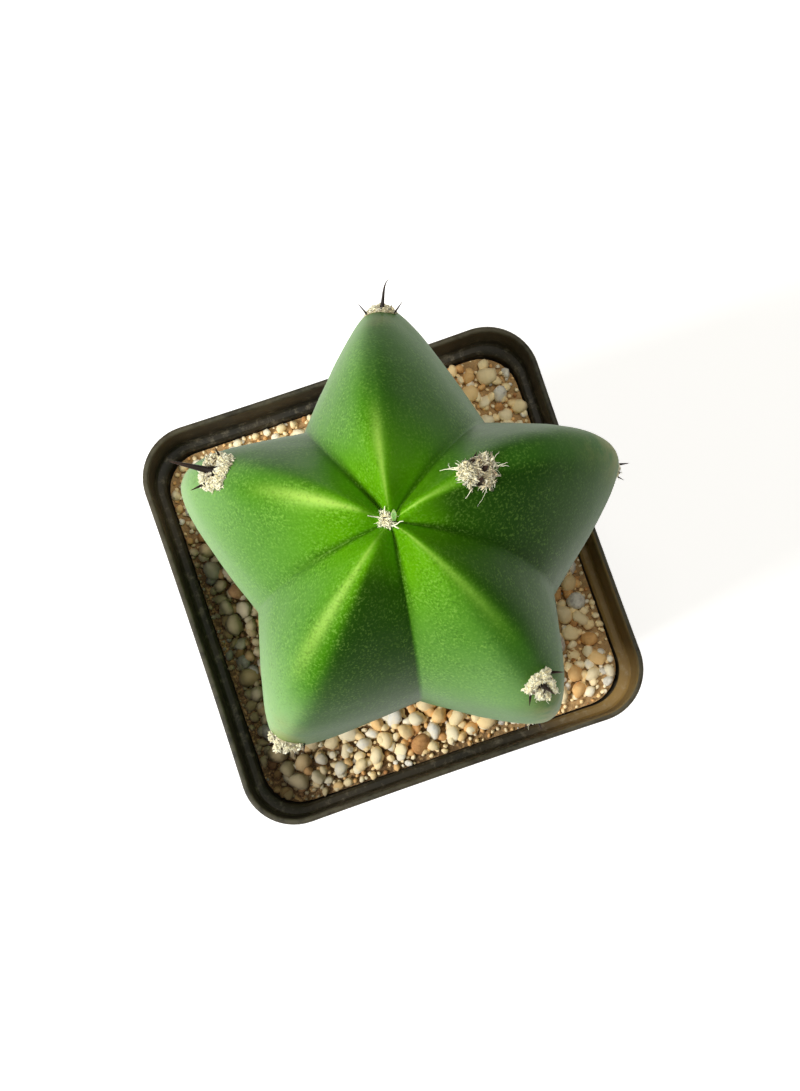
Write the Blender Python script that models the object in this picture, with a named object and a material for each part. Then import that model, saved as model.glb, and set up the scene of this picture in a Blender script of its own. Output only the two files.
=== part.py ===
"""Potted blue myrtle cactus: a square nursery pot, its gritty filling and a five-ribbed stem.

Metres, +Z up. The origin is the middle of the pot's underside, on the surface that it stands on.
The pot's sides are square to X and Y. Rib 0 points along +X, and the ribs are numbered anticlockwise.
"""

import math
import random

import bmesh
import bpy
from mathutils import Matrix, Vector

# Clearance between pieces that rest in each other
GAP = 0.0003

# Pot
POT_SIDE = 0.076
POT_HEIGHT = 0.072
POT_FOOT_SIDE = 0.054
POT_WALL = 0.0011
POT_FLOOR = 0.0024
RIM_BAND_HEIGHT = 0.009
RIM_BAND_STEP = 0.0012
RIM_BAND_DRAFT = 0.0005
CORNER_RADIUS = 0.0097
CORNER_SEGMENTS = 6
DRAIN_CHANNEL_WIDTH = 0.009
DRAIN_CHANNEL_DEPTH = 0.0012
DRAIN_CHANNEL_START = 0.008
DRAIN_SLOT_HEIGHT = 0.005
DRAIN_SLOT_LENGTH = 0.007
DRAIN_HOLE_RADIUS = 0.0025
DRAIN_HOLE_OFFSET = 0.016
DRAIN_HOLE_SIDES = 16

# Grit, with the stones of its top layer; factors are shares of a stone's radius or height
GRIT_TOP = POT_HEIGHT - 0.0095
GRIT_SEED = 7
STONE_TRIES = 6000
STONE_RADII = (0.0021, 0.0031)
STONE_SPACING = 0.70
STONE_STEM_OVERLAP = 0.3
STONE_SINK = 0.05
STONE_JITTER = 0.16
STONE_WIDTHS = (0.75, 1.0)
STONE_HEIGHTS = (0.65, 0.85)
STONE_TIP = 0.3

# Stem: heights are measured down from the top of the rib crests, and called drops
STEM_TOP = POT_HEIGHT + 0.074
STEM_FOOT = GRIT_TOP - 0.018
DOME_HEIGHT = 0.032
FURROW_DOME_HEIGHT = 0.028
APEX_DIP = 0.0036
APEX_DIP_RADIUS = 0.0034
CREST_TAPER = 0.30
FURROW_TAPER = 0.22
TAPER_POWER = 1.8
FLANK_POWER = 1.10
CREST_ROUNDING = (0.10, 0.16)
HOLE_CLEARANCE = 0.0006

# One row for each rib: the crest's azimuth at the shoulder and at the apex, in degrees, and its radius,
# then the same for the furrow that follows it anticlockwise
RIBS = (
    (2.3, 11.5, 0.0399, 32.5, 37.0, 0.0250),
    (73.3, 81.0, 0.0381, 109.9, 112.0, 0.0229),
    (145.2, 143.5, 0.0357, 189.0, 186.0, 0.0244),
    (222.0, 221.5, 0.0363, 262.0, 264.0, 0.0260),
    (293.8, 299.0, 0.0388, 323.4, 335.0, 0.0280),
)
DOME_RINGS = 12
DOME_RING_CROWDING = 1.15
COLUMN_RINGS = 11
FLANK_STEPS = 5

# Areoles follow each other two ribs apart, youngest first, and the older ones are evenly spaced.
# One row for each of the young ones: its drop, its wool's radius, its central spine's length, and
# how far that spine leans down the crest and to its anticlockwise side, as slopes
YOUNG_AREOLES = (
    (0.0024, 0.0034, 0.0022, 0.0, 0.0),
    (0.0140, 0.0028, 0.0072, 0.5, 0.2),
    (0.0160, 0.0028, 0.0045, 0.3, 0.5),
    (0.0250, 0.0029, 0.0042, 0.0, -0.2),
    (0.0330, 0.0029, 0.0032, 0.4, 0.2),
)
OLD_AREOLE = (0.0029, 0.0036, 0.6, -0.2)
AREOLE_PITCH = 0.0070
AREOLE_COUNT = 10
RIB_SKIP = 2
AREOLE_RISE = 0.0013
APEX_TUFT_RADIUS = 0.0019
CHIN_HEIGHT = 0.0009
CHIN_LENGTH = 0.0050
CHIN_CENTRE = 0.7
CENTRAL_SPINE_RADIUS = 0.00050
RADIAL_SPINE_COUNT = 5
RADIAL_SPINE_LENGTHS = (0.0018, 0.0032)
RADIAL_SPINE_RADIUS = 0.00034
RADIAL_SPINE_LEAN = 62.0
RADIAL_SPINE_SPREAD = 0.35
SPINE_SINK = 0.0012
SPINE_TIP = 0.15
SPINE_SIDES = 5
SPINE_SEED = 3


def clear_scene():
    """Remove whatever the file opened with."""
    for obj in list(bpy.data.objects):
        bpy.data.objects.remove(obj, do_unlink=True)


def new_collection(name):
    """A collection linked to the scene."""
    collection = bpy.data.collections.new(name)
    bpy.context.scene.collection.children.link(collection)
    return collection


def new_material(name, colour, roughness):
    """A Principled material of one colour."""
    material = bpy.data.materials.new(name)
    material.use_nodes = True
    shader = material.node_tree.nodes["Principled BSDF"]
    shader.inputs["Base Color"].default_value = (*colour, 1.0)
    shader.inputs["Roughness"].default_value = roughness
    shader.inputs["Metallic"].default_value = 0.0
    return material


def object_from(bm, name, collection, material=None):
    """An object that takes over the bmesh."""
    bmesh.ops.recalc_face_normals(bm, faces=bm.faces)
    mesh = bpy.data.meshes.new(name)
    bm.to_mesh(mesh)
    bm.free()
    obj = bpy.data.objects.new(name, mesh)
    collection.objects.link(obj)
    if material is not None:
        mesh.materials.append(material)
    return obj


def add_boolean(obj, other, operation):
    """Cut or join another object, which is shown as a wire and not rendered."""
    modifier = obj.modifiers.new(f"{operation.lower()} {other.name}", "BOOLEAN")
    modifier.operation = operation
    modifier.object = other
    other.hide_render = True
    other.display_type = "WIRE"


def fuse_collection(obj, pieces):
    """Join every object of a collection to this one, and remove the collection."""
    modifier = obj.modifiers.new("fuse", "BOOLEAN")
    modifier.operation = "UNION"
    modifier.operand_type = "COLLECTION"
    modifier.collection = pieces
    modifier.solver = "MANIFOLD"
    bpy.context.view_layer.update()
    evaluated = obj.evaluated_get(bpy.context.evaluated_depsgraph_get())
    fused = bpy.data.meshes.new_from_object(evaluated)
    obj.modifiers.remove(modifier)
    obj.data = fused
    for piece in list(pieces.objects):
        bpy.data.objects.remove(piece, do_unlink=True)
    bpy.data.collections.remove(pieces)


def square_frustum(name, collection, low, high, radius):
    """A tapered square block with rounded corners; low and high are (half width, height)."""
    bm = bmesh.new()
    bmesh.ops.create_cone(
        bm,
        cap_ends=True,
        segments=4,
        radius1=low[0] * math.sqrt(2),
        radius2=high[0] * math.sqrt(2),
        depth=high[1] - low[1],
    )
    middle = Vector((0, 0, (low[1] + high[1]) / 2))
    bm.transform(Matrix.Translation(middle) @ Matrix.Rotation(math.pi / 4, 4, "Z"))
    corners = [edge for edge in bm.edges if abs(edge.verts[0].co.z - edge.verts[1].co.z) > GAP]
    bmesh.ops.bevel(
        bm,
        geom=corners,
        offset=radius,
        offset_type="OFFSET",
        segments=CORNER_SEGMENTS,
        profile=0.5,
        affect="EDGES",
    )
    return object_from(bm, name, collection)


def block(name, collection, low, high):
    """A box between two corners."""
    bm = bmesh.new()
    bmesh.ops.create_cube(bm, size=1.0)
    size = Vector(high) - Vector(low)
    middle = (Vector(high) + Vector(low)) / 2
    bm.transform(Matrix.Translation(middle) @ Matrix.Diagonal((*size, 1.0)))
    return object_from(bm, name, collection)


def body_half_width(height):
    """Half the width of the pot's tapered body at a height."""
    foot = POT_FOOT_SIDE / 2
    shoulder = POT_SIDE / 2 - RIM_BAND_STEP
    return foot + (shoulder - foot) * height / POT_HEIGHT


def drain_cutters(helpers):
    """Four channels with slots through the foot of each wall, and four round holes between them."""
    pieces = []
    reach = POT_FOOT_SIDE / 2 + DRAIN_SLOT_LENGTH
    half = DRAIN_CHANNEL_WIDTH / 2
    slot_start = POT_FOOT_SIDE / 2 - DRAIN_SLOT_LENGTH
    for side in range(4):
        turn = Matrix.Rotation(side * math.pi / 2, 4, "Z")
        channel_low = (DRAIN_CHANNEL_START, -half, -DRAIN_CHANNEL_DEPTH)
        channel = block("drain_channel", helpers, channel_low, (reach, half, DRAIN_CHANNEL_DEPTH))
        slot_low = (slot_start, GAP - half, -DRAIN_SLOT_HEIGHT)
        slot = block("drain_slot", helpers, slot_low, (reach, half - GAP, DRAIN_SLOT_HEIGHT))
        channel.data.transform(turn)
        slot.data.transform(turn)
        bm = bmesh.new()
        bmesh.ops.create_cone(
            bm,
            cap_ends=True,
            segments=DRAIN_HOLE_SIDES,
            radius1=DRAIN_HOLE_RADIUS,
            radius2=DRAIN_HOLE_RADIUS,
            depth=4 * POT_FLOOR,
            matrix=turn @ Matrix.Translation((DRAIN_HOLE_OFFSET, DRAIN_HOLE_OFFSET, 0)),
        )
        pieces += [channel, slot, object_from(bm, "drain_hole", helpers)]
    return pieces


def build_pot(parts, helpers):
    """The moulded pot: a tapered body with a band round its rim, hollow from above."""
    wall_top = POT_HEIGHT - RIM_BAND_HEIGHT
    body_top = wall_top + POT_WALL
    pot = square_frustum(
        "pot",
        parts,
        (body_half_width(0), 0),
        (body_half_width(body_top), body_top),
        CORNER_RADIUS - RIM_BAND_STEP,
    )
    band = square_frustum(
        "rim_band",
        helpers,
        (POT_SIDE / 2 - RIM_BAND_DRAFT, wall_top),
        (POT_SIDE / 2, POT_HEIGHT),
        CORNER_RADIUS,
    )
    add_boolean(pot, band, "UNION")
    cavity = square_frustum(
        "cavity",
        helpers,
        (body_half_width(POT_FLOOR) - POT_WALL, POT_FLOOR),
        (body_half_width(POT_HEIGHT) - POT_WALL, POT_HEIGHT),
        CORNER_RADIUS - RIM_BAND_STEP - POT_WALL,
    )
    add_boolean(pot, cavity, "DIFFERENCE")
    mouth = square_frustum(
        "mouth",
        helpers,
        (POT_SIDE / 2 - RIM_BAND_DRAFT - POT_WALL, wall_top + POT_WALL),
        (POT_SIDE / 2 - POT_WALL, POT_HEIGHT + RIM_BAND_HEIGHT),
        CORNER_RADIUS - POT_WALL,
    )
    add_boolean(pot, mouth, "DIFFERENCE")
    for cutter in drain_cutters(helpers):
        add_boolean(pot, cutter, "DIFFERENCE")
    pot.data.materials.append(new_material("pot_plastic", (0.018, 0.017, 0.012), 0.45))
    return pot


def areoles():
    """(rib, drop, wool radius, spine length, lean down, lean sideways) of each one above the grit."""
    found = []
    for age in range(AREOLE_COUNT):
        rib = (RIB_SKIP * age) % len(RIBS)
        older = age - len(YOUNG_AREOLES) + 1
        if older <= 0:
            found.append((rib, *YOUNG_AREOLES[age]))
        else:
            found.append((rib, YOUNG_AREOLES[-1][0] + older * AREOLE_PITCH, *OLD_AREOLE))
    return found


def chin(rib, drop):
    """How far a crest swells below each of its areoles."""
    swell = 0.0
    for areole_rib, areole_drop, *_ in areoles():
        if areole_rib == rib:
            below = (drop - areole_drop) / CHIN_LENGTH
            swell += CHIN_HEIGHT * math.exp(-((below - CHIN_CENTRE) ** 2))
    return swell


def profile(drop, shoulder, apex, radius, taper):
    """(reach, azimuth in radians, climb) of a crest or furrow; climb is 1 at the apex, 0 below the dome."""
    if drop < DOME_HEIGHT:
        climb = 1 - drop / DOME_HEIGHT
        reach = radius * math.sqrt(1 - climb * climb)
    else:
        climb = 0.0
        down = (drop - DOME_HEIGHT) / (STEM_TOP - DOME_HEIGHT - GRIT_TOP)
        reach = radius * (1 - taper * down**TAPER_POWER)
    return reach, math.radians(shoulder + (apex - shoulder) * climb * climb), climb


def crest_point(rib, drop):
    """A point of a rib's crest line."""
    shoulder, apex, radius = RIBS[rib][:3]
    reach, azimuth, climb = profile(drop, shoulder, apex, radius, CREST_TAPER)
    height = STEM_TOP - drop
    if climb > 0:
        height -= APEX_DIP * math.exp(-((reach / APEX_DIP_RADIUS) ** 2))
    reach += chin(rib, drop) * min(1.0, reach / radius)
    return Vector((reach * math.cos(azimuth), reach * math.sin(azimuth), height))


def furrow_point(rib, drop):
    """A point of the furrow that follows a rib anticlockwise."""
    reach, azimuth, climb = profile(drop, *RIBS[rib][3:], FURROW_TAPER)
    height = STEM_TOP - max(drop, DOME_HEIGHT) + FURROW_DOME_HEIGHT * climb
    return Vector((reach * math.cos(azimuth), reach * math.sin(azimuth), height))


def flank_depth(across, drop):
    """How far a rib has fallen from crest to furrow, 0 to 1; across runs from -1 to 1."""
    share = min(1.0, drop / DOME_HEIGHT)
    rounding = CREST_ROUNDING[0] + (CREST_ROUNDING[1] - CREST_ROUNDING[0]) * share
    fallen = math.hypot(across, rounding) - rounding
    return (fallen / (math.hypot(1.0, rounding) - rounding)) ** FLANK_POWER


def stem_point(rib, drop, across):
    """A point of the stem's skin: across is -1 and 1 at a rib's furrows and 0 at its crest."""
    crest = crest_point(rib, drop)
    before = furrow_point((rib - 1) % len(RIBS), drop)
    after = furrow_point(rib, drop)
    middle = (before + after) / 2
    return crest + (middle - crest) * flank_depth(across, drop) + (after - before) / 2 * across


def stem_ring(drop):
    """The stem's outline at a drop, anticlockwise."""
    ring = []
    for rib in range(len(RIBS)):
        for step in range(-FLANK_STEPS, FLANK_STEPS):
            ring.append(stem_point(rib, drop, step / FLANK_STEPS))
    return ring


def stem_drops():
    """The drops of the stem's rings, from the apex to the foot."""
    drops = []
    for ring in range(1, DOME_RINGS + 1):
        angle = math.pi / 2 * (ring / DOME_RINGS) ** DOME_RING_CROWDING
        drops.append(DOME_HEIGHT * (1 - math.cos(angle)))
    column = STEM_TOP - DOME_HEIGHT - STEM_FOOT
    for ring in range(1, COLUMN_RINGS + 1):
        drops.append(DOME_HEIGHT + column * ring / COLUMN_RINGS)
    return drops


def loft(rings, top, name, collection, material=None):
    """A closed skin over rings of equal count, with a point above the first and a flat foot."""
    bm = bmesh.new()
    loops = [[bm.verts.new(point) for point in ring] for ring in rings]
    pole = bm.verts.new(top)
    count = len(loops[0])
    for i in range(count):
        bm.faces.new((pole, loops[0][i], loops[0][(i + 1) % count]))
    for upper, lower in zip(loops, loops[1:]):
        for i in range(count):
            j = (i + 1) % count
            bm.faces.new((upper[i], lower[i], lower[j], upper[j]))
    bm.faces.new(reversed(loops[-1]))
    return object_from(bm, name, collection, material)


def crest_frame(rib, drop):
    """(point, outward direction, direction down the crest) at a drop on a rib's crest."""
    beside = 0.05
    point = crest_point(rib, drop)
    down = (crest_point(rib, drop + GAP) - crest_point(rib, max(drop - GAP, 0.0))).normalized()
    side = (stem_point(rib, drop, beside) - stem_point(rib, drop, -beside)).normalized()
    return point, down.cross(side).normalized(), down


def add_spine(pieces, root, direction, length, radius):
    """A thin cone whose root is sunk in the stem."""
    bm = bmesh.new()
    turn = direction.to_track_quat("Z", "Y").to_matrix().to_4x4()
    bmesh.ops.create_cone(
        bm,
        cap_ends=True,
        segments=SPINE_SIDES,
        radius1=radius,
        radius2=radius * SPINE_TIP,
        depth=length + SPINE_SINK,
        matrix=Matrix.Translation(root + direction * (length - SPINE_SINK) / 2) @ turn,
    )
    object_from(bm, "spine", pieces)


def add_wool(pieces, centre, outward, radius, rise):
    """A low woolly cushion, half sunk in the stem."""
    bm = bmesh.new()
    turn = outward.to_track_quat("Z", "Y").to_matrix().to_4x4()
    flatten = Matrix.Diagonal((radius, radius, rise, 1.0))
    bmesh.ops.create_uvsphere(
        bm,
        u_segments=10,
        v_segments=6,
        radius=1.0,
        matrix=Matrix.Translation(centre) @ turn @ flatten,
    )
    object_from(bm, "wool", pieces)


def add_areole(pieces, areole, draw):
    """One areole: its wool, a central spine and a fan of radial spines."""
    rib, drop, wool_radius, central_length, lean_down, lean_sideways = areole
    centre, outward, down = crest_frame(rib, drop)
    across = outward.cross(down)
    add_wool(pieces, centre, outward, wool_radius, AREOLE_RISE)
    root = centre + outward * AREOLE_RISE / 2
    tilt = (outward + down * lean_down + across * lean_sideways).normalized()
    add_spine(pieces, root, tilt, central_length, CENTRAL_SPINE_RADIUS)
    lean = math.radians(RADIAL_SPINE_LEAN)
    for index in range(RADIAL_SPINE_COUNT):
        turn = math.tau * (index + draw.uniform(0.3, 0.7)) / RADIAL_SPINE_COUNT
        sideways = across * math.cos(turn) + down * math.sin(turn)
        direction = outward * math.cos(lean) + sideways * math.sin(lean)
        length = min(draw.uniform(*RADIAL_SPINE_LENGTHS), central_length)
        foot = centre + sideways * wool_radius * RADIAL_SPINE_SPREAD
        add_spine(pieces, foot, direction, length, RADIAL_SPINE_RADIUS)


def build_cactus(parts):
    """The stem with its areoles and spines, fused into one solid."""
    skin = new_material("cactus_skin", (0.07, 0.24, 0.035), 0.5)
    apex = Vector((0, 0, STEM_TOP - APEX_DIP))
    rings = [stem_ring(drop) for drop in stem_drops()]
    cactus = loft(rings, apex, "cactus", parts, skin)
    pieces = new_collection("areole pieces")
    draw = random.Random(SPINE_SEED)
    add_wool(pieces, apex, Vector((0, 0, 1)), APEX_TUFT_RADIUS, AREOLE_RISE)
    for areole in areoles():
        add_areole(pieces, areole, draw)
    fuse_collection(cactus, pieces)
    return cactus


def in_rounded_square(x, y, half, corner, margin):
    """Whether a point lies a margin or more inside a square with rounded corners."""
    over_x = abs(x) - half + corner
    over_y = abs(y) - half + corner
    if over_x > 0 and over_y > 0:
        return math.hypot(over_x, over_y) < corner - margin
    return max(abs(x), abs(y)) < half - margin


def outline_radius(ring, azimuth):
    """The distance from the axis to a ring's outline in a direction."""

    def turn_from(point):
        return abs(math.remainder(math.atan2(point.y, point.x) - azimuth, math.tau))

    nearest = min(ring, key=turn_from)
    return math.hypot(nearest.x, nearest.y)


def stone_places(draw):
    """(x, y, radius) of stones that cover the grit around the stem, clear of the pot's wall."""
    ring = stem_ring(STEM_TOP - GRIT_TOP)
    half = body_half_width(GRIT_TOP) - POT_WALL - GAP
    corner = CORNER_RADIUS - RIM_BAND_STEP - POT_WALL - GAP
    places = []
    for _ in range(STONE_TRIES):
        radius = draw.uniform(*STONE_RADII)
        x = draw.uniform(-half, half)
        y = draw.uniform(-half, half)
        if not in_rounded_square(x, y, half, corner, radius * (1 + STONE_JITTER)):
            continue
        if math.hypot(x, y) < outline_radius(ring, math.atan2(y, x)) + radius * STONE_STEM_OVERLAP:
            continue
        if all(math.hypot(x - a, y - b) > (radius + c) * STONE_SPACING for a, b, c in places):
            places.append((x, y, radius))
    return places


def add_stone(pieces, x, y, radius, draw):
    """One rounded, uneven stone, partly sunk in the grit."""
    bm = bmesh.new()
    bmesh.ops.create_icosphere(bm, subdivisions=1, radius=radius)
    for vert in bm.verts:
        vert.co *= 1 + draw.uniform(-STONE_JITTER, STONE_JITTER)
    squash = Matrix.Diagonal((1.0, draw.uniform(*STONE_WIDTHS), draw.uniform(*STONE_HEIGHTS), 1.0))
    spin = Matrix.Rotation(draw.uniform(0, math.tau), 4, "Z")
    tip = Matrix.Rotation(draw.uniform(-STONE_TIP, STONE_TIP), 4, "X")
    place = Matrix.Translation((x, y, GRIT_TOP + radius * STONE_SINK))
    bm.transform(place @ spin @ tip @ squash)
    object_from(bm, "stone", pieces)


def stem_hole(helpers):
    """A cutter a little wider and deeper than the stem's foot."""
    rings = []
    for drop in stem_drops():
        if drop > DOME_HEIGHT:
            ring = stem_ring(drop)
            rings.append([p + Vector((p.x, p.y, 0)).normalized() * HOLE_CLEARANCE for p in ring])
    rings[-1] = [p - Vector((0, 0, GAP)) for p in rings[-1]]
    return loft(rings, Vector((0, 0, STEM_TOP)), "stem_hole", helpers)


def build_grit(parts, helpers):
    """The filling of the pot, with stones on top and a plain hole for the stem's foot."""
    inset = POT_WALL + GAP
    grit = square_frustum(
        "grit",
        parts,
        (body_half_width(POT_FLOOR + GAP) - inset, POT_FLOOR + GAP),
        (body_half_width(GRIT_TOP) - inset, GRIT_TOP),
        CORNER_RADIUS - RIM_BAND_STEP - inset,
    )
    grit.data.materials.append(new_material("grit_stones", (0.42, 0.30, 0.17), 0.85))
    draw = random.Random(GRIT_SEED)
    pieces = new_collection("stones")
    for x, y, radius in stone_places(draw):
        add_stone(pieces, x, y, radius, draw)
    fuse_collection(grit, pieces)
    add_boolean(grit, stem_hole(helpers), "DIFFERENCE")
    return grit


def main():
    """Build the three pieces in one collection."""
    clear_scene()
    parts = new_collection("potted_blue_myrtle_cactus")
    helpers = new_collection("cutters")
    build_pot(parts, helpers)
    build_grit(parts, helpers)
    build_cactus(parts)


main()
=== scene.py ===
"""Looks of a potted columnar cactus: nursery pot, grit, ribbed stem, woolly areoles and spines.

Metres, +Z up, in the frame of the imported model. Each piece keeps the form of the node that it
replaces and adds what that node leaves out. The same rules that the solids follow are written once,
with numpy's functions, and serve both the arrays that place a piece and the nodes that draw one.
"""

import logging
import math
from dataclasses import dataclass, field, fields, replace
from enum import Enum
from typing import Callable, Iterable, Sequence, Union

import bmesh
import bpy
import numpy as np
from bpy.types import Material, Mesh, Object
from mathutils import Matrix, Vector, noise


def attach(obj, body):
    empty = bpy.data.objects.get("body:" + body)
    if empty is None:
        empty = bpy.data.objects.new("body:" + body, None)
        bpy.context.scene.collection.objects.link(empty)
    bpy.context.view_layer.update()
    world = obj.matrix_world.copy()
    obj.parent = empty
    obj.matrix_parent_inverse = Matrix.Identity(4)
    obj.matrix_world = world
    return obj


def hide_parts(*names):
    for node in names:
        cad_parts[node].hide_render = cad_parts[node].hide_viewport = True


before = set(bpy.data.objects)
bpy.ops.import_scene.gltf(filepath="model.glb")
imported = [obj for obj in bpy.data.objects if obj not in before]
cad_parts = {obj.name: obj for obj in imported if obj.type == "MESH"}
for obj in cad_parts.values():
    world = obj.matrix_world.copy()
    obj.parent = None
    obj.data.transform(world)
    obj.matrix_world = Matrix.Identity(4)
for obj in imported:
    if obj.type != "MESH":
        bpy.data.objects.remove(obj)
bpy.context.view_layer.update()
BODY = "root"
MM = 0.001
LOG = logging.getLogger("potted_cactus")

Array = np.ndarray
Colour = tuple[float, float, float, float]
Triple = tuple[float, float, float]
Span = tuple[float, float]
Number = Union[float, Array, "Field"]
Place = tuple[Number, Number, Number]
Faces = list[tuple[int, ...]]


def srgb(red: int, green: int, blue: int) -> Colour:
    """A colour given in 8-bit display steps, as linear light.

    Args:
        red, green, blue: display steps from 0 to 255.

    Returns:
        The linear red, green, blue and an alpha of 1.
    """
    def linear(step: int) -> float:
        """One channel as linear light."""
        share = step / 255
        return share / 12.92 if share <= 0.04045 else ((share + 0.055) / 1.055) ** 2.4

    return linear(red), linear(green), linear(blue), 1.0


def smoothstep(low: float, high: float, value: Number) -> Number:
    """0 below low, 1 above high, and smooth between."""
    share = np.minimum(1.0, np.maximum(0.0, (value - low) / (high - low)))
    return share * share * (3.0 - 2.0 * share)


def bell(value: Number, width: Number) -> Number:
    """A bump of height 1 at zero that dies away over the width."""
    share = value / width
    return np.exp(share * share * -1.0)


def from_axis(x: Number, y: Number) -> Number:
    """The distance of a place from the upright axis."""
    return np.sqrt(x * x + y * y)


class Field(np.lib.mixins.NDArrayOperatorsMixin):
    """A number that a node tree works out; numpy's functions and operators on it add Math nodes."""

    OPERATIONS = {
        np.add: "ADD",
        np.subtract: "SUBTRACT",
        np.multiply: "MULTIPLY",
        np.true_divide: "DIVIDE",
        np.power: "POWER",
        np.sqrt: "SQRT",
        np.exp: "EXPONENT",
        np.sin: "SINE",
        np.cos: "COSINE",
        np.floor: "FLOOR",
        np.absolute: "ABSOLUTE",
        np.minimum: "MINIMUM",
        np.maximum: "MAXIMUM",
    }

    def __init__(self, graph: "Graph", socket: bpy.types.NodeSocket) -> None:
        """Remember the tree and the socket that gives the number."""
        self.graph = graph
        self.socket = socket

    def __array_ufunc__(self, function: np.ufunc, method: str, *inputs: Number, **_: object) -> "Field":
        """Add the Math node that stands for one of numpy's functions.

        Args:
            function: numpy's function.
            method: how numpy calls it.
            inputs: what it is called on.

        Returns:
            The node's result.
        """
        node = self.graph.node("ShaderNodeMath", operation=self.OPERATIONS[function])
        for socket, value in zip(node.inputs, inputs):
            self.graph.feed(socket, value)
        return Field(self.graph, node.outputs[0])


class Graph:
    """A node tree that is being written."""

    def __init__(self, tree: bpy.types.NodeTree) -> None:
        """Start from a tree, empty or not."""
        self.tree = tree

    @staticmethod
    def pick(sockets: Iterable[bpy.types.NodeSocket], name: str | int) -> bpy.types.NodeSocket:
        """The socket in use that has the name, or the one at the index.

        Args:
            sockets: a node's inputs or outputs.
            name: the name or the index.

        Returns:
            The socket.
        """
        if isinstance(name, int):
            return sockets[name]
        return next(socket for socket in sockets if socket.enabled and socket.name == name)

    def feed(self, socket: bpy.types.NodeSocket, value: object) -> None:
        """Link a field or an output to an input, or set the input to a plain value.

        Args:
            socket: the input.
            value: what it takes.
        """
        if isinstance(value, Field):
            self.tree.links.new(value.socket, socket)
        elif isinstance(value, bpy.types.NodeSocket):
            self.tree.links.new(value, socket)
        else:
            socket.default_value = value

    def node(self, kind: str, inputs: dict | None = None, **settings: object) -> bpy.types.Node:
        """Add a node.

        Args:
            kind: the node's type name.
            inputs: values for its inputs, by name or index.
            settings: values for its own properties.

        Returns:
            The new node.
        """
        node = self.tree.nodes.new(kind)
        for name, value in settings.items():
            setattr(node, name, value)
        for name, value in (inputs or {}).items():
            self.feed(self.pick(node.inputs, name), value)
        return node

    def value(
        self, kind: str, output: str | int, inputs: dict | None = None, **settings: object
    ) -> Field:
        """Add a node and give one of its outputs as a field."""
        node = self.node(kind, inputs, **settings)
        return Field(self, self.pick(node.outputs, output))

    def split(self, place: Field) -> tuple[Field, Field, Field]:
        """The three numbers of a vector."""
        parts = self.node("ShaderNodeSeparateXYZ", {"Vector": place})
        return tuple(Field(self, parts.outputs[axis]) for axis in "XYZ")

    def scale(self, vector: Field, factor: Number) -> Field:
        """A vector times a number."""
        inputs = {0: vector, "Scale": factor}
        return self.value("ShaderNodeVectorMath", "Vector", inputs, operation="SCALE")


class Shader(Graph):
    """A material's node tree, with the patterns that the finishes share."""

    def __init__(self, name: str) -> None:
        """A new material with a Principled shader.

        Args:
            name: the material's name.
        """
        self.material = bpy.data.materials.new(name)
        self.material.use_nodes = True
        super().__init__(self.material.node_tree)
        self.principled = self.tree.nodes["Principled BSDF"]
        self.place = self.value("ShaderNodeTexCoord", "Object")

    def surface(self, **inputs: object) -> Material:
        """Set or link the Principled shader's inputs, and give the finished material.

        Args:
            inputs: the values; underscores in their names stand for spaces.

        Returns:
            The material.
        """
        for name, value in inputs.items():
            self.feed(self.pick(self.principled.inputs, name.replace("_", " ")), value)
        return self.material

    def attribute(self, name: str) -> Field:
        """A number stored on the mesh's points."""
        return self.value("ShaderNodeAttribute", "Fac", attribute_name=name)

    def noise(self, size: float, detail: float = 2.0, roughness: float = 0.5) -> Field:
        """Soft noise from 0 to 1 whose patches are about the size across, in metres."""
        inputs = {"Vector": self.place, "Scale": 1.0 / size, "Detail": detail, "Roughness": roughness}
        return self.value("ShaderNodeTexNoise", "Fac", inputs)

    def specks(self, size: float, radius: float) -> Field:
        """1 in small round specks, 0 between.

        Args:
            size: about how far apart they are, in metres.
            radius: their radius, as a share of the size.

        Returns:
            The pattern.
        """
        inputs = {"Vector": self.place, "Scale": 1.0 / size}
        distance = self.value("ShaderNodeTexVoronoi", "Distance", inputs)
        return 1.0 - smoothstep(radius * 0.5, radius, distance)

    def mix(self, share: Number, first: object, second: object) -> Field:
        """A colour between two others."""
        inputs = {"Factor": share, "A": first, "B": second}
        return self.value("ShaderNodeMix", "Result", inputs, data_type="RGBA")

    def layered(self, base: object, *layers: tuple[Number, object]) -> Field:
        """A colour with layers laid over it in turn.

        Args:
            base: the lowest colour.
            layers: the share that each covers, and its colour.

        Returns:
            The colour.
        """
        for share, colour in layers:
            base = self.mix(share, base, colour)
        return base

    def ramp(self, position: Number, stops: Sequence[tuple[float, Colour]]) -> Field:
        """A colour read off a ramp of (position, colour) stops.

        Args:
            position: where to read it, from 0 to 1.
            stops: its stops.

        Returns:
            The colour.
        """
        node = self.node("ShaderNodeValToRGB", {"Fac": position})
        elements = node.color_ramp.elements
        while len(elements) < len(stops):
            elements.new(1.0)
        for element, (at, colour) in zip(elements, stops):
            element.position = at
            element.color = colour
        return Field(self, node.outputs["Color"])

    def bump(self, height: Number, distance: float, strength: float = 1.0) -> Field:
        """A normal tilted by a height field whose full range is the distance."""
        inputs = {"Height": height, "Distance": distance, "Strength": strength}
        return self.value("ShaderNodeBump", "Normal", inputs)


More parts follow.
